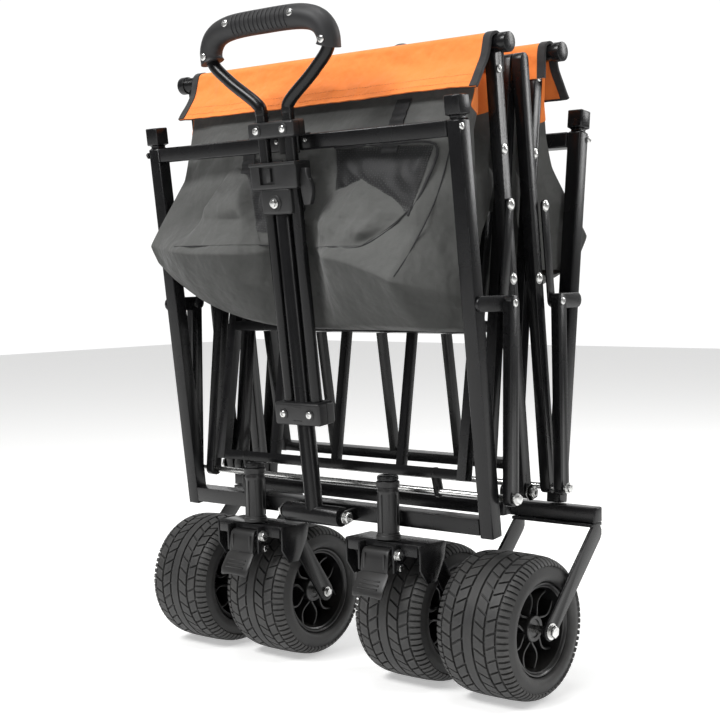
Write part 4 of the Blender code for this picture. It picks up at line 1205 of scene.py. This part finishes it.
def fork_details(side):
    """The fork plate's front lip and side cheeks, and the brake's ears with their bolts."""
    body = f"caster_{side}"
    low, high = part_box(f"caster_fork_{side}")
    x, _, foot = JOINTS[f"swivel_{side}"]["pos_m"]
    top = foot - 0.002
    front = low.y
    lip_low = (low.x + 0.004, front - 0.0012, top - 0.0145)
    lip_high = (high.x - 0.004, front + 0.0022, top - 0.001)
    parts = [rounded_block(lip_low, lip_high, 0.0010, 2)]
    for s in SIDES.values():
        parts.append(fork_cheek(x + s * (high.x - low.x) / 2, front, top, s))
    settle(join(parts), f"fork_cheeks_{side}", "powder_coat", body)
    pedal_low, pedal_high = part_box(f"brake_pedal_{side}")
    _, y, z = JOINTS[f"brake_press_{side}"]["pos_m"]
    bolt_x = pedal_high.x + 0.0052
    bolt = facing((1, 0, 0), (bolt_x, y - 0.001, z - 0.001)) @ Matrix.Scale(0.78, 4)
    nut = facing((1, 0, 0), (bolt_x - 0.002, y + 0.004, z - 0.017)) @ Matrix.Scale(0.58, 4)
    fasten(f"brake_bolts_{side}", body, [(HEX_HEAD, bolt), (HEX_HEAD, nut)])
    ears = []
    for inner, outer in (
        (pedal_high.x + 0.0008, pedal_high.x + 0.0042),
        (pedal_low.x - 0.0042, pedal_low.x - 0.0008),
    ):
        ear = ((inner, y - 0.007, z - 0.023), (outer, front + 0.003, top - 0.001))
        ears.append(rounded_block(*ear, 0.0012, 2))
    settle(join(ears), f"brake_ears_{side}", "powder_coat", body)


PAD_RAISED = 0.0150  # half the width of the pedal's raised frame and ribs


def pedal(side):
    """A foot pedal: an upper pad with a raised frame and a flared lip, on two side webs."""
    low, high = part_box(f"brake_pedal_{side}")
    pivot = Vector(JOINTS[f"brake_press_{side}"]["pos_m"])
    middle = (low.x + high.x) / 2
    outline = [  # (back, up, share of the width) from the pivot down to the toe
        (0.0030, 0.0040, 0.80),
        (-0.0035, 0.0036, 0.84),
        (-0.0062, 0.0010, 0.86),
        (-0.0080, -0.0080, 0.87),
        (-0.0088, -0.0170, 0.88),
        (-0.0096, -0.0215, 0.88),
        (-0.0085, -0.0235, 0.90),
        (-0.0108, -0.0262, 0.98),
        (-0.0160, -0.0340, 1.0),
        (-0.0215, -0.0420, 1.0),
        (-0.0240, -0.0470, 0.96),
        (-0.0236, -0.0490, 0.88),
    ]
    columns = 10
    pad = mesh_grid(columns, len(outline) - 1)
    for point in pad.data.vertices:
        dy, dz, wide = outline[int(point.co.y)]
        u = 2 * point.co.x / columns - 1
        crown = 0.0016 * (1 - u * u) if point.co.y > 6 else 0.0007 * (1 - u * u)
        point.co = (
            middle + u * wide * (high.x - low.x) / 2 * 0.98,
            pivot.y + dy - crown,
            pivot.z + dz - 0.0025 * u * u * (point.co.y > 9),
        )
    thicken(pad, 0.0034)
    add_bevel(pad, 0.0009, 3, 50)
    apply_modifiers(pad)
    merge(pad, 1e-7)
    parts = [pad]
    for s in SIDES.values():
        x = middle + s * PAD_RAISED
        corner = (x - 0.0012, pivot.y - 0.0112, pivot.z - 0.0195)
        parts.append(rounded_block(corner, (x + 0.0012, pivot.y - 0.0062, pivot.z - 0.0005), 0.0006, 2))
    for i in range(3):
        z = pivot.z - 0.0320 - 0.0042 * i
        y = pivot.y - 0.0172 - 0.0032 * i
        corner = (middle - PAD_RAISED, y - 0.0014, z - 0.0009)
        parts.append(rounded_block(corner, (middle + PAD_RAISED, y + 0.0012, z + 0.0009), 0.0005, 2))
    name = f"brake_pedal_{side}_finished"
    piece = settle(join(parts), name, "black_plastic", f"brake_{side}", angle=45)
    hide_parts(f"brake_pedal_{side}")


# ---------------------------------------------------------------- rivets on the linkage
BAR_RIVET_Z = 0.640


def linkage_rivets():
    """Rivets, screws and bolts where the bars are pinned, grouped by the body that carries them."""
    places = {}

    def put(body, s, x, y, z, master=RIVET, scale=1.0):
        """Places a fastener on a side's outer face."""
        spot = facing((s, 0, 0), (s * x, y, z), y * 90) @ Matrix.Scale(scale, 4)
        places.setdefault(body, []).append((master, spot))

    foot = Vector(JOINTS["fold"]["pos_m"])
    centre_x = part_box("centre_support")[1].x - 0.0005
    for end, e in ENDS.items():
        hoop_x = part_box(f"{end}_hoop_bar_right")[1].x
        cross_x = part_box(f"{end}_cross_bar_right")[1].x
        crossing, outer = (f"{end}_hoop", hoop_x) if end == "front" else (f"{end}_cross", cross_x)
        _, cross_y, cross_z = JOINTS[f"{end}_cross_turn"]["pos_m"]
        _, frame_y, frame_z = JOINTS[f"{end}_frame_turn"]["pos_m"]
        _, link_y, link_z = JOINTS[f"{end}_link_turn"]["pos_m"]
        rod = (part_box(f"{end}_top_rod")[0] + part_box(f"{end}_top_rod")[1]) / 2
        lean = (rod.y - foot.y) / (rod.z - foot.z)
        link_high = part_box(f"{end}_link_right")[1]
        link_top_y = foot.y + (link_high.z - 0.008 - foot.z) * lean
        strut_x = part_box(f"{end}_strut_right")[1].x
        post_low, post_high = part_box(f"{end}_post_right")
        rail_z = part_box(f"{end}_upper_rail")[0].z + 0.0105
        share = (rail_z - post_low.z) / (post_high.z - post_low.z)
        post_y = post_low.y + (post_high.y - post_low.y) * (share if e > 0 else 1 - share)
        for s in SIDES.values():
            put(crossing, s, outer, cross_y, cross_z)
            bar_y = foot.y + (BAR_RIVET_Z - foot.z) * lean
            put(f"{end}_hoop", s, hoop_x, bar_y, BAR_RIVET_Z, scale=0.9)
            put(f"{end}_hoop", s, hoop_x, rod.y - lean * 0.028, rod.z - 0.028, PAN_SCREW)
            put(f"{end}_links", s, link_high.x, link_y, link_z)
            put(f"{end}_links", s, link_high.x, link_top_y, link_high.z - 0.0075)
            put(f"{end}_frame", s, strut_x + 0.0002, link_y, link_z, PAN_SCREW)
            put(f"{end}_frame", s, strut_x + 0.0036, frame_y, frame_z, HEX_HEAD, 0.72)
            put("centre_support", s, centre_x, foot.y, foot.z, HEX_HEAD)
            put(f"{end}_frame", s, post_high.x, post_y, rail_z, PAN_SCREW, 0.9)
    for body, spots in places.items():
        fasten(f"{body}_rivets", body, spots)


# ---------------------------------------------------------------- canvas bag
ROD = (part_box("front_top_rod")[0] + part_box("front_top_rod")[1]) / 2
ROD_OUT = MIDDLE_Y - ROD.y
ROD_UP = ROD.z
CLOTH = 0.0015
CLOTH_WIDE = 0.47
INNER_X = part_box("front_hoop_bar_right")[0].x - 0.0022


def ease(t):
    """A smooth step from 0 to 1."""
    t = min(max(t, 0.0), 1.0)
    return t * t * (3 - 2 * t)


def ridged(x, y, z):
    """Noise folded into sharp crests that reach 1."""
    return 1 - 2 * abs(noise.noise(Vector((x, y, z))))


# The end wall row by row, from the rod down the wall and along the floor to its middle. Each row:
# how far out it is at the middle, its height at the loose side, middle and tucked side, then
# how far out and how wide it ends at the loose side, and the same at the tucked side.
WALL = [
    (ROD_OUT + 0.0102, ROD_UP, ROD_UP, ROD_UP, ROD_OUT + 0.0102, 0.2340, ROD_OUT + 0.0102, 0.2340),
    (0.0690, 0.738, 0.738, 0.738, 0.0690, 0.2310, 0.0690, 0.2330),
    (0.0800, 0.702, 0.702, 0.702, 0.0765, 0.2240, 0.0780, 0.2320),
    (0.1010, 0.662, 0.662, 0.662, 0.0930, 0.2180, 0.0930, 0.2300),
    (0.1080, 0.626, 0.620, 0.612, 0.1000, 0.2220, 0.0910, 0.2290),
    (0.1200, 0.582, 0.568, 0.546, 0.1255, 0.2310, 0.0880, 0.2285),
    (0.1670, 0.541, 0.526, 0.468, 0.1420, 0.2450, 0.0830, 0.2280),
    (0.1500, 0.520, 0.487, 0.456, 0.1330, 0.2410, 0.0800, 0.2270),
    (0.1170, 0.498, 0.441, 0.436, 0.1140, 0.2290, 0.0750, 0.2250),
    (0.1000, 0.492, 0.434, 0.432, 0.0900, 0.2160, 0.0720, 0.2160),
    (0.0740, 0.500, 0.448, 0.446, 0.0700, 0.2140, 0.0640, 0.2140),
    (0.0500, 0.540, 0.505, 0.505, 0.0500, 0.2120, 0.0500, 0.2120),
    (0.0270, 0.590, 0.575, 0.575, 0.0270, 0.2110, 0.0270, 0.2110),
    (0.0000, 0.626, 0.622, 0.626, 0.0000, 0.2110, 0.0000, 0.2110),
]
HALF_LENGTH = 0.56  # of cloth from one rod to the middle of the floor


def between_rows(rows, v, pull=0.10):
    """The row values at a share of the way along; pull sets how round the line is at a row."""
    at = v * (len(rows) - 1)
    i = min(int(at), len(rows) - 2)
    t = at - i
    four = [rows[min(max(k, 0), len(rows) - 1)] for k in (i - 1, i, i + 1, i + 2)]
    values = []
    for before, start, stop, after in zip(*four):
        a, b = (stop - before) * pull, (after - start) * pull
        value = start * (2 * t**3 - 3 * t**2 + 1) + a * (t**3 - 2 * t**2 + t)
        values.append(value + stop * (3 * t**2 - 2 * t**3) + b * (t**3 - t**2))
    return values


def end_wall(u, v, e):
    """A point of the bag: u across from -1 to 1, v from the rod (0) to the middle of the floor (1).

    The two ends are the same cloth turned half a turn: one side hangs loose in front of its post
    and the other is tucked in beside the other post.
    """
    out, high_loose, high, high_tucked, loose_out, loose_x, tucked_out, tucked_x = between_rows(WALL, v)
    loose = max(u * e, 0)
    tucked = max(-u * e, 0)
    edge = loose_x if u * e > 0 else tucked_x
    x = u * edge
    side = abs(x)
    if u * e > 0:
        back = ease((side - 0.150) / (edge - 0.150))
        outward = out + (loose_out - out) * back**1.4
    else:
        back = ease((side - 0.176) / (edge - 0.176)) ** 0.8
        outward = out + (tucked_out - out) * back
    high = high + (high_loose - high) * loose**2.2 + (high_tucked - high) * tucked**2.0
    bulge = ease((0.700 - high) / 0.05) * ease((0.62 - v) / 0.12)
    if e < 0:
        limit = MIDDLE_Y - HINGE.y + (high - HINGE.z) * math.tan(LEAN) - 0.0215
        near = math.exp(-((x / 0.058) ** 4)) * ease((0.650 - high) / 0.03)
        outward -= max(outward - limit, 0) * near
    above = ease((0.47 - v) / 0.03)
    folds = 0.0052 * ridged(x * 9 + high * 5, high * 7, e * 3.0) * (0.35 + 0.65 * above)
    folds += 0.0030 * ridged(x * 22 - high * 19, high * 13, e + 5.0) * (0.25 + 0.75 * above)
    folds += 0.0010 * noise.noise(Vector((x * 60, high * 46, e * 2.0)))
    folds *= bulge * (1 - 0.8 * back)
    sag = 0.0045 * noise.noise(Vector((x * 8, 2.6, e * 7.0)))
    sag = sag * ease((v - 0.36) / 0.1) * ease((0.9 - v) / 0.1)
    inner = 0.0030 * noise.noise(Vector((x * 13, v * 9, e * 4.0)))
    inner = inner * ease((v - 0.64) / 0.1) * ease((0.97 - v) / 0.05)
    return Vector((x, MIDDLE_Y + e * (outward + folds - 0.003 * bulge + inner), high + sag))


def sheet_grid(columns, rows, place, size, thickness=CLOTH):
    """A cloth sheet: a grid with its own map in metres, laid by place(u, v), then thickened."""
    piece = mesh_grid(columns, rows)
    layer = piece.data.uv_layers.new(name="cloth")
    layer.active_render = True
    piece.data.uv_layers.active = layer
    for loop in piece.data.loops:
        corner = piece.data.vertices[loop.vertex_index].co
        layer.data[loop.index].uv = (corner.x / columns * size[0], corner.y / rows * size[1])
    for point in piece.data.vertices:
        point.co = place(point.co.x / columns, point.co.y / rows)
    thicken(piece, thickness).use_even_offset = True
    apply_modifiers(piece)
    return piece


def bag_body():
    """The end walls and the floor between them, one cloth from rod to rod."""

    def place(u, v):
        e = -1 if v < 0.5 else 1
        return end_wall(2 * u - 1, 1 - abs(2 * v - 1), e)

    columns, rows = ((150, 200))
    piece = sheet_grid(columns, rows, place, (CLOTH_WIDE, 2 * HALF_LENGTH))
    return settle(piece, "bag_cloth", "canvas", "bag_front", angle=80)


def wall_edge(e, s, z):
    """Where the end wall's side edge is at a height."""
    spots = [end_wall(s, v / 60, e) for v in range(0, 39)]
    heights = [-spot.z for spot in spots]
    x = float(np.interp(-z, heights, [spot.x for spot in spots]))
    y = float(np.interp(-z, heights, [spot.y for spot in spots]))
    return x, y


# The side cloth's lines from the front wall to the middle: (kind, X, how far out, lowest Z).
# An edge or near line takes its X and its way out from the end wall instead.
GUSSET = [
    ("edge", 0, 0, 0.442),
    ("near", 0, 0, 0.446),
    ("cross", INNER_X, 0.0600, 0.470),
    ("fold", 0.1900, 0.0440, 0.530),
    ("fold", INNER_X, 0.0270, 0.575),
    ("fold", 0.1960, 0.0120, 0.608),
    ("fold", INNER_X, 0.0000, 0.630),
]


def drawn_up(lines):
    """The lines of the loose side, where the cloth's lower edge is drawn up."""
    return [
        (kind, x, out, low if kind == "fold" else max(low + 0.030, 0.502))
        for kind, x, out, low in lines
    ]


def side_gusset(s, low_limit=0.0, outward=0.0, top=0.0):
    """The folded side cloth between the two end walls, as a function of its two shares.

    It stays above low_limit, stands out by outward and its upper edge is raised by top.
    """
    front = list(GUSSET)
    rear = [(kind, x, -out, low) for kind, x, out, low in GUSSET[-2::-1]]
    lines = drawn_up(front) + rear if s < 0 else front + drawn_up(rear)

    def place(u, v):
        at = u * (len(lines) - 1)
        i = min(int(at), len(lines) - 2)
        t = at - i
        spots = []
        z_low = lines[i][3] + (lines[i + 1][3] - lines[i][3]) * t
        z_low = max(z_low, low_limit - 0.012 * math.sin(9 * u))
        z = z_low + (ROD_UP - 0.003 + top - z_low) * v
        for k in (i, i + 1):
            kind, x, out, _ = lines[k]
            e = -1 if k < len(GUSSET) else 1
            if kind in ("edge", "near"):
                edge_x, edge_y = wall_edge(e, s, max(z, 0.440))
                if kind == "near":
                    edge_y = MIDDLE_Y + e * max(abs(edge_y - MIDDLE_Y) - 0.0190, 0.0655)
                    edge_x = s * min(abs(edge_x) - 0.003, 0.2275)
                spots.append(Vector((edge_x, edge_y, z)))
            else:
                grow = 0.0058 * ease((z - 0.62) / 0.12) if kind == "cross" else 0
                tight = 1 - 0.55 * ease((z - 0.68) / 0.08) - 0.75 * ease((0.64 - z) / 0.03)
                inner = INNER_X - (INNER_X - x) * max(tight, 0.1)
                spots.append(Vector((s * inner, MIDDLE_Y - out - math.copysign(grow, out), z)))
        spot = spots[0].lerp(spots[1], ease(t) * 0.6 + t * 0.4)
        wave = 0.0016 * noise.noise(Vector((spot.y * 40, z * 22, s * 5.0)))
        inside = 1 if 1.6 < at < len(lines) - 2.6 else 0
        return spot + Vector((-s * (abs(wave) * inside) + s * outward, 0, 0))

    return place


def bag_sides():
    """The folded cloth at both sides and the orange band along its upper edge."""
    pieces, bands = [], []
    columns, rows = ((96, 90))
    for side, s in SIDES.items():
        cloth = sheet_grid(columns, rows, side_gusset(s), (0.34, 0.26), 0.0013)
        pieces.append(settle(cloth, f"bag_gusset_{side}", "canvas", "bag_front", angle=70))
        edge = side_gusset(s, 0.688, 0.0012, 0.001)
        band = sheet_grid(columns, 24, edge, (0.34, 0.07), 0.0009)
        bands.append(settle(band, f"side_band_{side}", ORANGE, "bag_front", "canvas", angle=70))
    return pieces + bands


# The flap's path over the rod, (out, up) from the inside to the hanging edge.
FLAP = [
    (ROD_OUT - 0.0125, ROD_UP - 0.030),
    (ROD_OUT - 0.0118, ROD_UP - 0.010),
    (ROD_OUT - 0.0112, ROD_UP),
    (ROD_OUT - 0.0085, ROD_UP + 0.0085),
    (ROD_OUT, ROD_UP + 0.0122),
    (ROD_OUT + 0.0090, ROD_UP + 0.0085),
    (ROD_OUT + 0.0125, ROD_UP - 0.001),
    (ROD_OUT + 0.0175, ROD_UP - 0.018),
    (ROD_OUT + 0.0275, ROD_UP - 0.034),
    (ROD_OUT + 0.0385, ROD_UP - 0.051),
]
FLAP_HALF = 0.2395
FLAP_MIDDLE = 0.0075
FLAP_LENGTH = 0.127
TAPE = 0.0010  # thickness of the binding


def flap_point(x, v, e, lift=0.0):
    """A point of the flap; lift moves it off the cloth."""
    spot = Vector(between_rows(FLAP, v, 0.5))
    run = Vector(between_rows(FLAP, v + 0.01, 0.5)) - Vector(between_rows(FLAP, v - 0.01, 0.5))
    outward = Vector((-run.y, run.x)).normalized()
    loose = ease((v - 0.62) / 0.38)
    wave = 0.0026 * noise.noise(Vector((x * 11, v * 2.2, e * 9.0))) * loose
    wave += 0.0012 * ridged(x * 31, v * 3, e * 2.0) * loose
    wave += 0.0010 * noise.noise(Vector((x * 55, v * 9, e * 6.0))) * ease((v - 0.45) / 0.2)
    spot = spot + outward * (wave + lift)
    up = spot.y - 0.0012 * loose * noise.noise(Vector((x * 9, 0, e)))
    return Vector((x, MIDDLE_Y + e * spot.x, up))


def flap_cloth(e, columns, rows):
    """A flap's own cloth."""

    def place(u, v):
        return flap_point(FLAP_MIDDLE + (2 * u - 1) * FLAP_HALF, v, e)

    return sheet_grid(columns, rows, place, (2 * FLAP_HALF, FLAP_LENGTH), 0.0016)


def flap_binding(e, columns, rows):
    """A flap's binding: tape on both faces and the edge at both ends, and a thin black strip along the
    hem.
    """

    def tape(s, lift):
        def place(u, v):
            return flap_point(FLAP_MIDDLE + s * (FLAP_HALF - 0.0085 + 0.0100 * u), v, e, lift)

        return sheet_grid(6, rows, place, (0.010, FLAP_LENGTH), TAPE)

    def edge(s):
        def place(u, v):
            return flap_point(FLAP_MIDDLE + s * (FLAP_HALF + 0.0015), v, e, 0.0028 * u - 0.0014)

        return sheet_grid(3, rows, place, (0.003, FLAP_LENGTH), TAPE)

    # A thin black strip along the hanging edge, set just behind the cloth.
    def hem(u, v):
        return flap_point(FLAP_MIDDLE + (2 * u - 1) * FLAP_HALF, 0.985 + 0.022 * v, e, -0.0013)

    pieces = []
    for s in SIDES.values():
        pieces += [tape(s, 0.0014), tape(s, -0.0014), edge(s)]
    pieces.append(sheet_grid(columns, 3, hem, (2 * FLAP_HALF, 0.004), TAPE))
    return join(pieces)


def flap_stitches(e):
    """Two rows of short stitches near a flap's hanging edge."""
    stitch = rounded_block((-0.0014, -0.00035, -0.00035), (0.0014, 0.00035, 0.00035), 0.0003, 2)
    count = 104
    threads = []
    for v in (0.905, 0.955):
        for k in range(count):
            x = FLAP_MIDDLE + (2 * (k + 0.5) / count - 1) * (FLAP_HALF - 0.011)
            at = flap_point(x, v, e, 0.0010)
            slope = (flap_point(x + 0.002, v, e, 0.0010) - at).normalized()
            threads.append(copy_to(stitch, facing(slope, at)))
    remove(stitch)
    return join(threads)


def bag_flaps():
    """An orange flap over each rod, bound in black at its ends, a thin black strip along its hem, and
    two rows of stitches.
    """
    columns, rows = ((190, 64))
    for end, e in ENDS.items():
        body = f"{end}_hoop"
        flap = flap_cloth(e, columns, rows)
        settle(flap, f"{end}_flap", ORANGE, body, "canvas", angle=70)
        binding = flap_binding(e, columns, rows)
        settle(binding, f"{end}_flap_binding", BINDING, body, "canvas", angle=60)
        thread = flap_stitches(e)
        settle(thread, f"{end}_flap_stitches", THREAD, body, "canvas")


PATCH_LIFT = 0.0012  # how far a sewn-on panel lies off the wall
SEWN_CLOTH = 0.0012


def front_face(x, z, lift=0.0):
    """The point of the front wall at X and a height, moved outward by lift."""
    spots = []
    for k in range(32):
        row = between_rows(WALL, k / 50)
        edge = row[5] if x < 0 else row[7]
        spots.append(end_wall(max(min(x / edge, 1), -1), k / 50, -1))
    y = float(np.interp(-z, [-spot.z for spot in spots], [spot.y for spot in spots]))
    return Vector((x, y - lift, z))


def patch(name, corners, finish, rise, peak=0.0, open_side=0):
    """A sewn-on panel on the front wall, between four (X, Z) corners from low left round.

    It stands out by rise along a ridge, its upper edge comes to a peak, and it stays open
    towards one side (-1 left, 1 right, 0 neither).
    """
    columns, rows = ((60, 48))

    def place(u, v):
        low = Vector(corners[0]).lerp(Vector(corners[1]), u)
        high = Vector(corners[3]).lerp(Vector(corners[2]), u)
        spot = low.lerp(high, v)
        x, z = spot.x, spot.y + peak * v * (1 - abs(2 * u - 1)) ** 0.8
        bend = 0.5 * (1 - 0.35 * u * (open_side < 0) - 0.35 * (1 - u) * (open_side > 0))
        tent = v / bend if v < bend else (1 - v) / (1 - bend)
        ends = min(1, u / 0.16 + (open_side < 0)) * min(1, (1 - u) / 0.16 + (open_side > 0))
        swell = ease(tent) ** 0.8 * ease(ends) ** 0.7 * ease((abs(x) - 0.036) / 0.022)
        crease = 0.0022 * ridged(x * 34 + z * 12, z * 30, 3.0) * swell
        return front_face(x, z, PATCH_LIFT + rise * swell + crease)

    wide = abs(corners[1][0] - corners[0][0])
    tall = abs(corners[2][1] - corners[1][1])
    piece = sheet_grid(columns, rows, place, (wide, tall), SEWN_CLOTH)
    return settle(piece, name, finish, "bag_front", "canvas", angle=60)


def seam(name, radius, places):
    """A piped seam along the front wall through (X, Z) places."""
    path = smooth_path([front_face(x, z, 0.0010) for x, z in places], 6)
    return settle(swept(path, radius, 8), name, BINDING, "bag_front", "canvas", angle=60)


def strap(name, x, low, high):
    """A gathered elastic strap: a black band with close cross ribs."""
    half = 0.0105

    def place(u, v):
        rib = 0.0006 * math.sin(v * 44) + 0.0004 * noise.noise(Vector((u * 3, v * 40, 1)))
        z = low + (high - low) * v
        return front_face(x + half * (2 * u - 1) + 0.004 * (v - 0.5), z, 0.0022 + rib)

    piece = sheet_grid(6, 60, place, (2 * half, high - low), SEWN_CLOTH)
    return settle(piece, name, BINDING, "bag_front", "canvas", angle=60)


def bag_front_details():
    """What is sewn on the front wall: nets, gathered pockets, straps and piped seams."""
    cloth = FINISHES["canvas"]
    right_net = [(0.060, 0.588), (0.172, 0.566), (0.192, 0.645), (0.050, 0.650)]
    right_pocket = [(0.036, 0.534), (0.124, 0.533), (0.170, 0.573), (0.038, 0.584)]
    left_net = [(-0.100, 0.560), (-0.032, 0.552), (-0.034, 0.640), (-0.104, 0.646)]
    left_pocket = [(-0.176, 0.540), (-0.050, 0.539), (-0.096, 0.632), (-0.132, 0.634)]
    net_right = [(0.048, 0.652), (0.12, 0.650), (0.194, 0.646), (0.186, 0.600), (0.170, 0.566)]
    pocket_right = [(0.034, 0.5335), (0.08, 0.533), (0.122, 0.532), (0.150, 0.552), (0.171, 0.573)]
    pocket_left = [(-0.178, 0.5395), (-0.12, 0.539), (-0.049, 0.538), (-0.036, 0.536)]
    side = [(0.179, 0.497), (0.184, 0.530), (0.196, 0.580), (0.208, 0.630), (0.216, 0.690)]
    return [
        patch("right_net", right_net, NET, 0.003),
        patch("right_pocket", right_pocket, cloth, 0.019, peak=0.046, open_side=-1),
        patch("left_net", left_net, NET, 0.002),
        patch("left_pocket", left_pocket, cloth, 0.019, peak=0.003),
        strap("right_strap", 0.134, 0.640, 0.703),
        strap("left_strap", -0.094, 0.628, 0.700),
        seam("net_edge_right", 0.0018, net_right),
        seam("net_edge_left", 0.0018, [(-0.106, 0.648), (-0.07, 0.644), (-0.034, 0.640)]),
        seam("pocket_seam_right", 0.0009, pocket_right),
        seam("pocket_seam_left", 0.0009, pocket_left),
        seam("side_seam", 0.0010, side),
    ]


def top_lump():
    """A fold of spare cloth that stands up behind the front rod."""

    def place(u, v):
        x = 0.016 + 0.082 * u
        rise = 0.030 * math.sin(math.pi * u) ** 0.5 * (0.8 + 0.25 * math.sin(5.2 * u + 0.6))
        turn = math.pi * v
        y = 0.030 - 0.018 * math.cos(turn) + 0.002 * noise.noise(Vector((x * 60, v * 3, 2)))
        return Vector((x, y + MIDDLE_Y, 0.735 + (0.026 + rise) * math.sin(turn) ** 0.8))

    piece = sheet_grid(30, 20, place, (0.10, 0.12), 0.0013)
    return settle(piece, "spare_cloth", "canvas", "bag_front", angle=70)


def free(piece):
    """Takes a piece off its body: it is unparented and loses its body key."""
    kept = piece.matrix_world.copy()
    piece.parent = None
    piece.matrix_world = kept
    if "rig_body" in piece:
        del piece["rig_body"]


def canvas_bag():
    """The whole bag; its cloth, side cloths and bands are taken off their bodies and baked in place."""
    body = bag_body()
    sides = bag_sides()
    bag_flaps()
    sewn = bag_front_details()
    lump = top_lump()
    for piece in [body] + sides:
        free(piece)
        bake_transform(piece)
    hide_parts("bag_front", "bag_rear")
# ---------------------------------------------------------------- the whole cart
aim_camera()
studio()
REBUILT = {"handle_tube", "handle_grip", "lock_body", "lock_lever", "upper_clamp", "lower_clamp"}
REBUILT |= {"brake_pedal_left", "brake_pedal_right"}
for node, slot_name in SLOT_OF.items():
    if slot_name in ("powder_coat", "zinc", "black_plastic") and "axle" not in node:
        if node not in REBUILT:
            soften(node)
fit_wheels()
fit_axles()
pull_handle()
handle_fittings()
handle_lock()
lock_lever()
for side in SIDES:
    kingpin(side)
    fork_details(side)
    pedal(side)
linkage_rivets()
canvas_bag()
remove(*MASTERS)
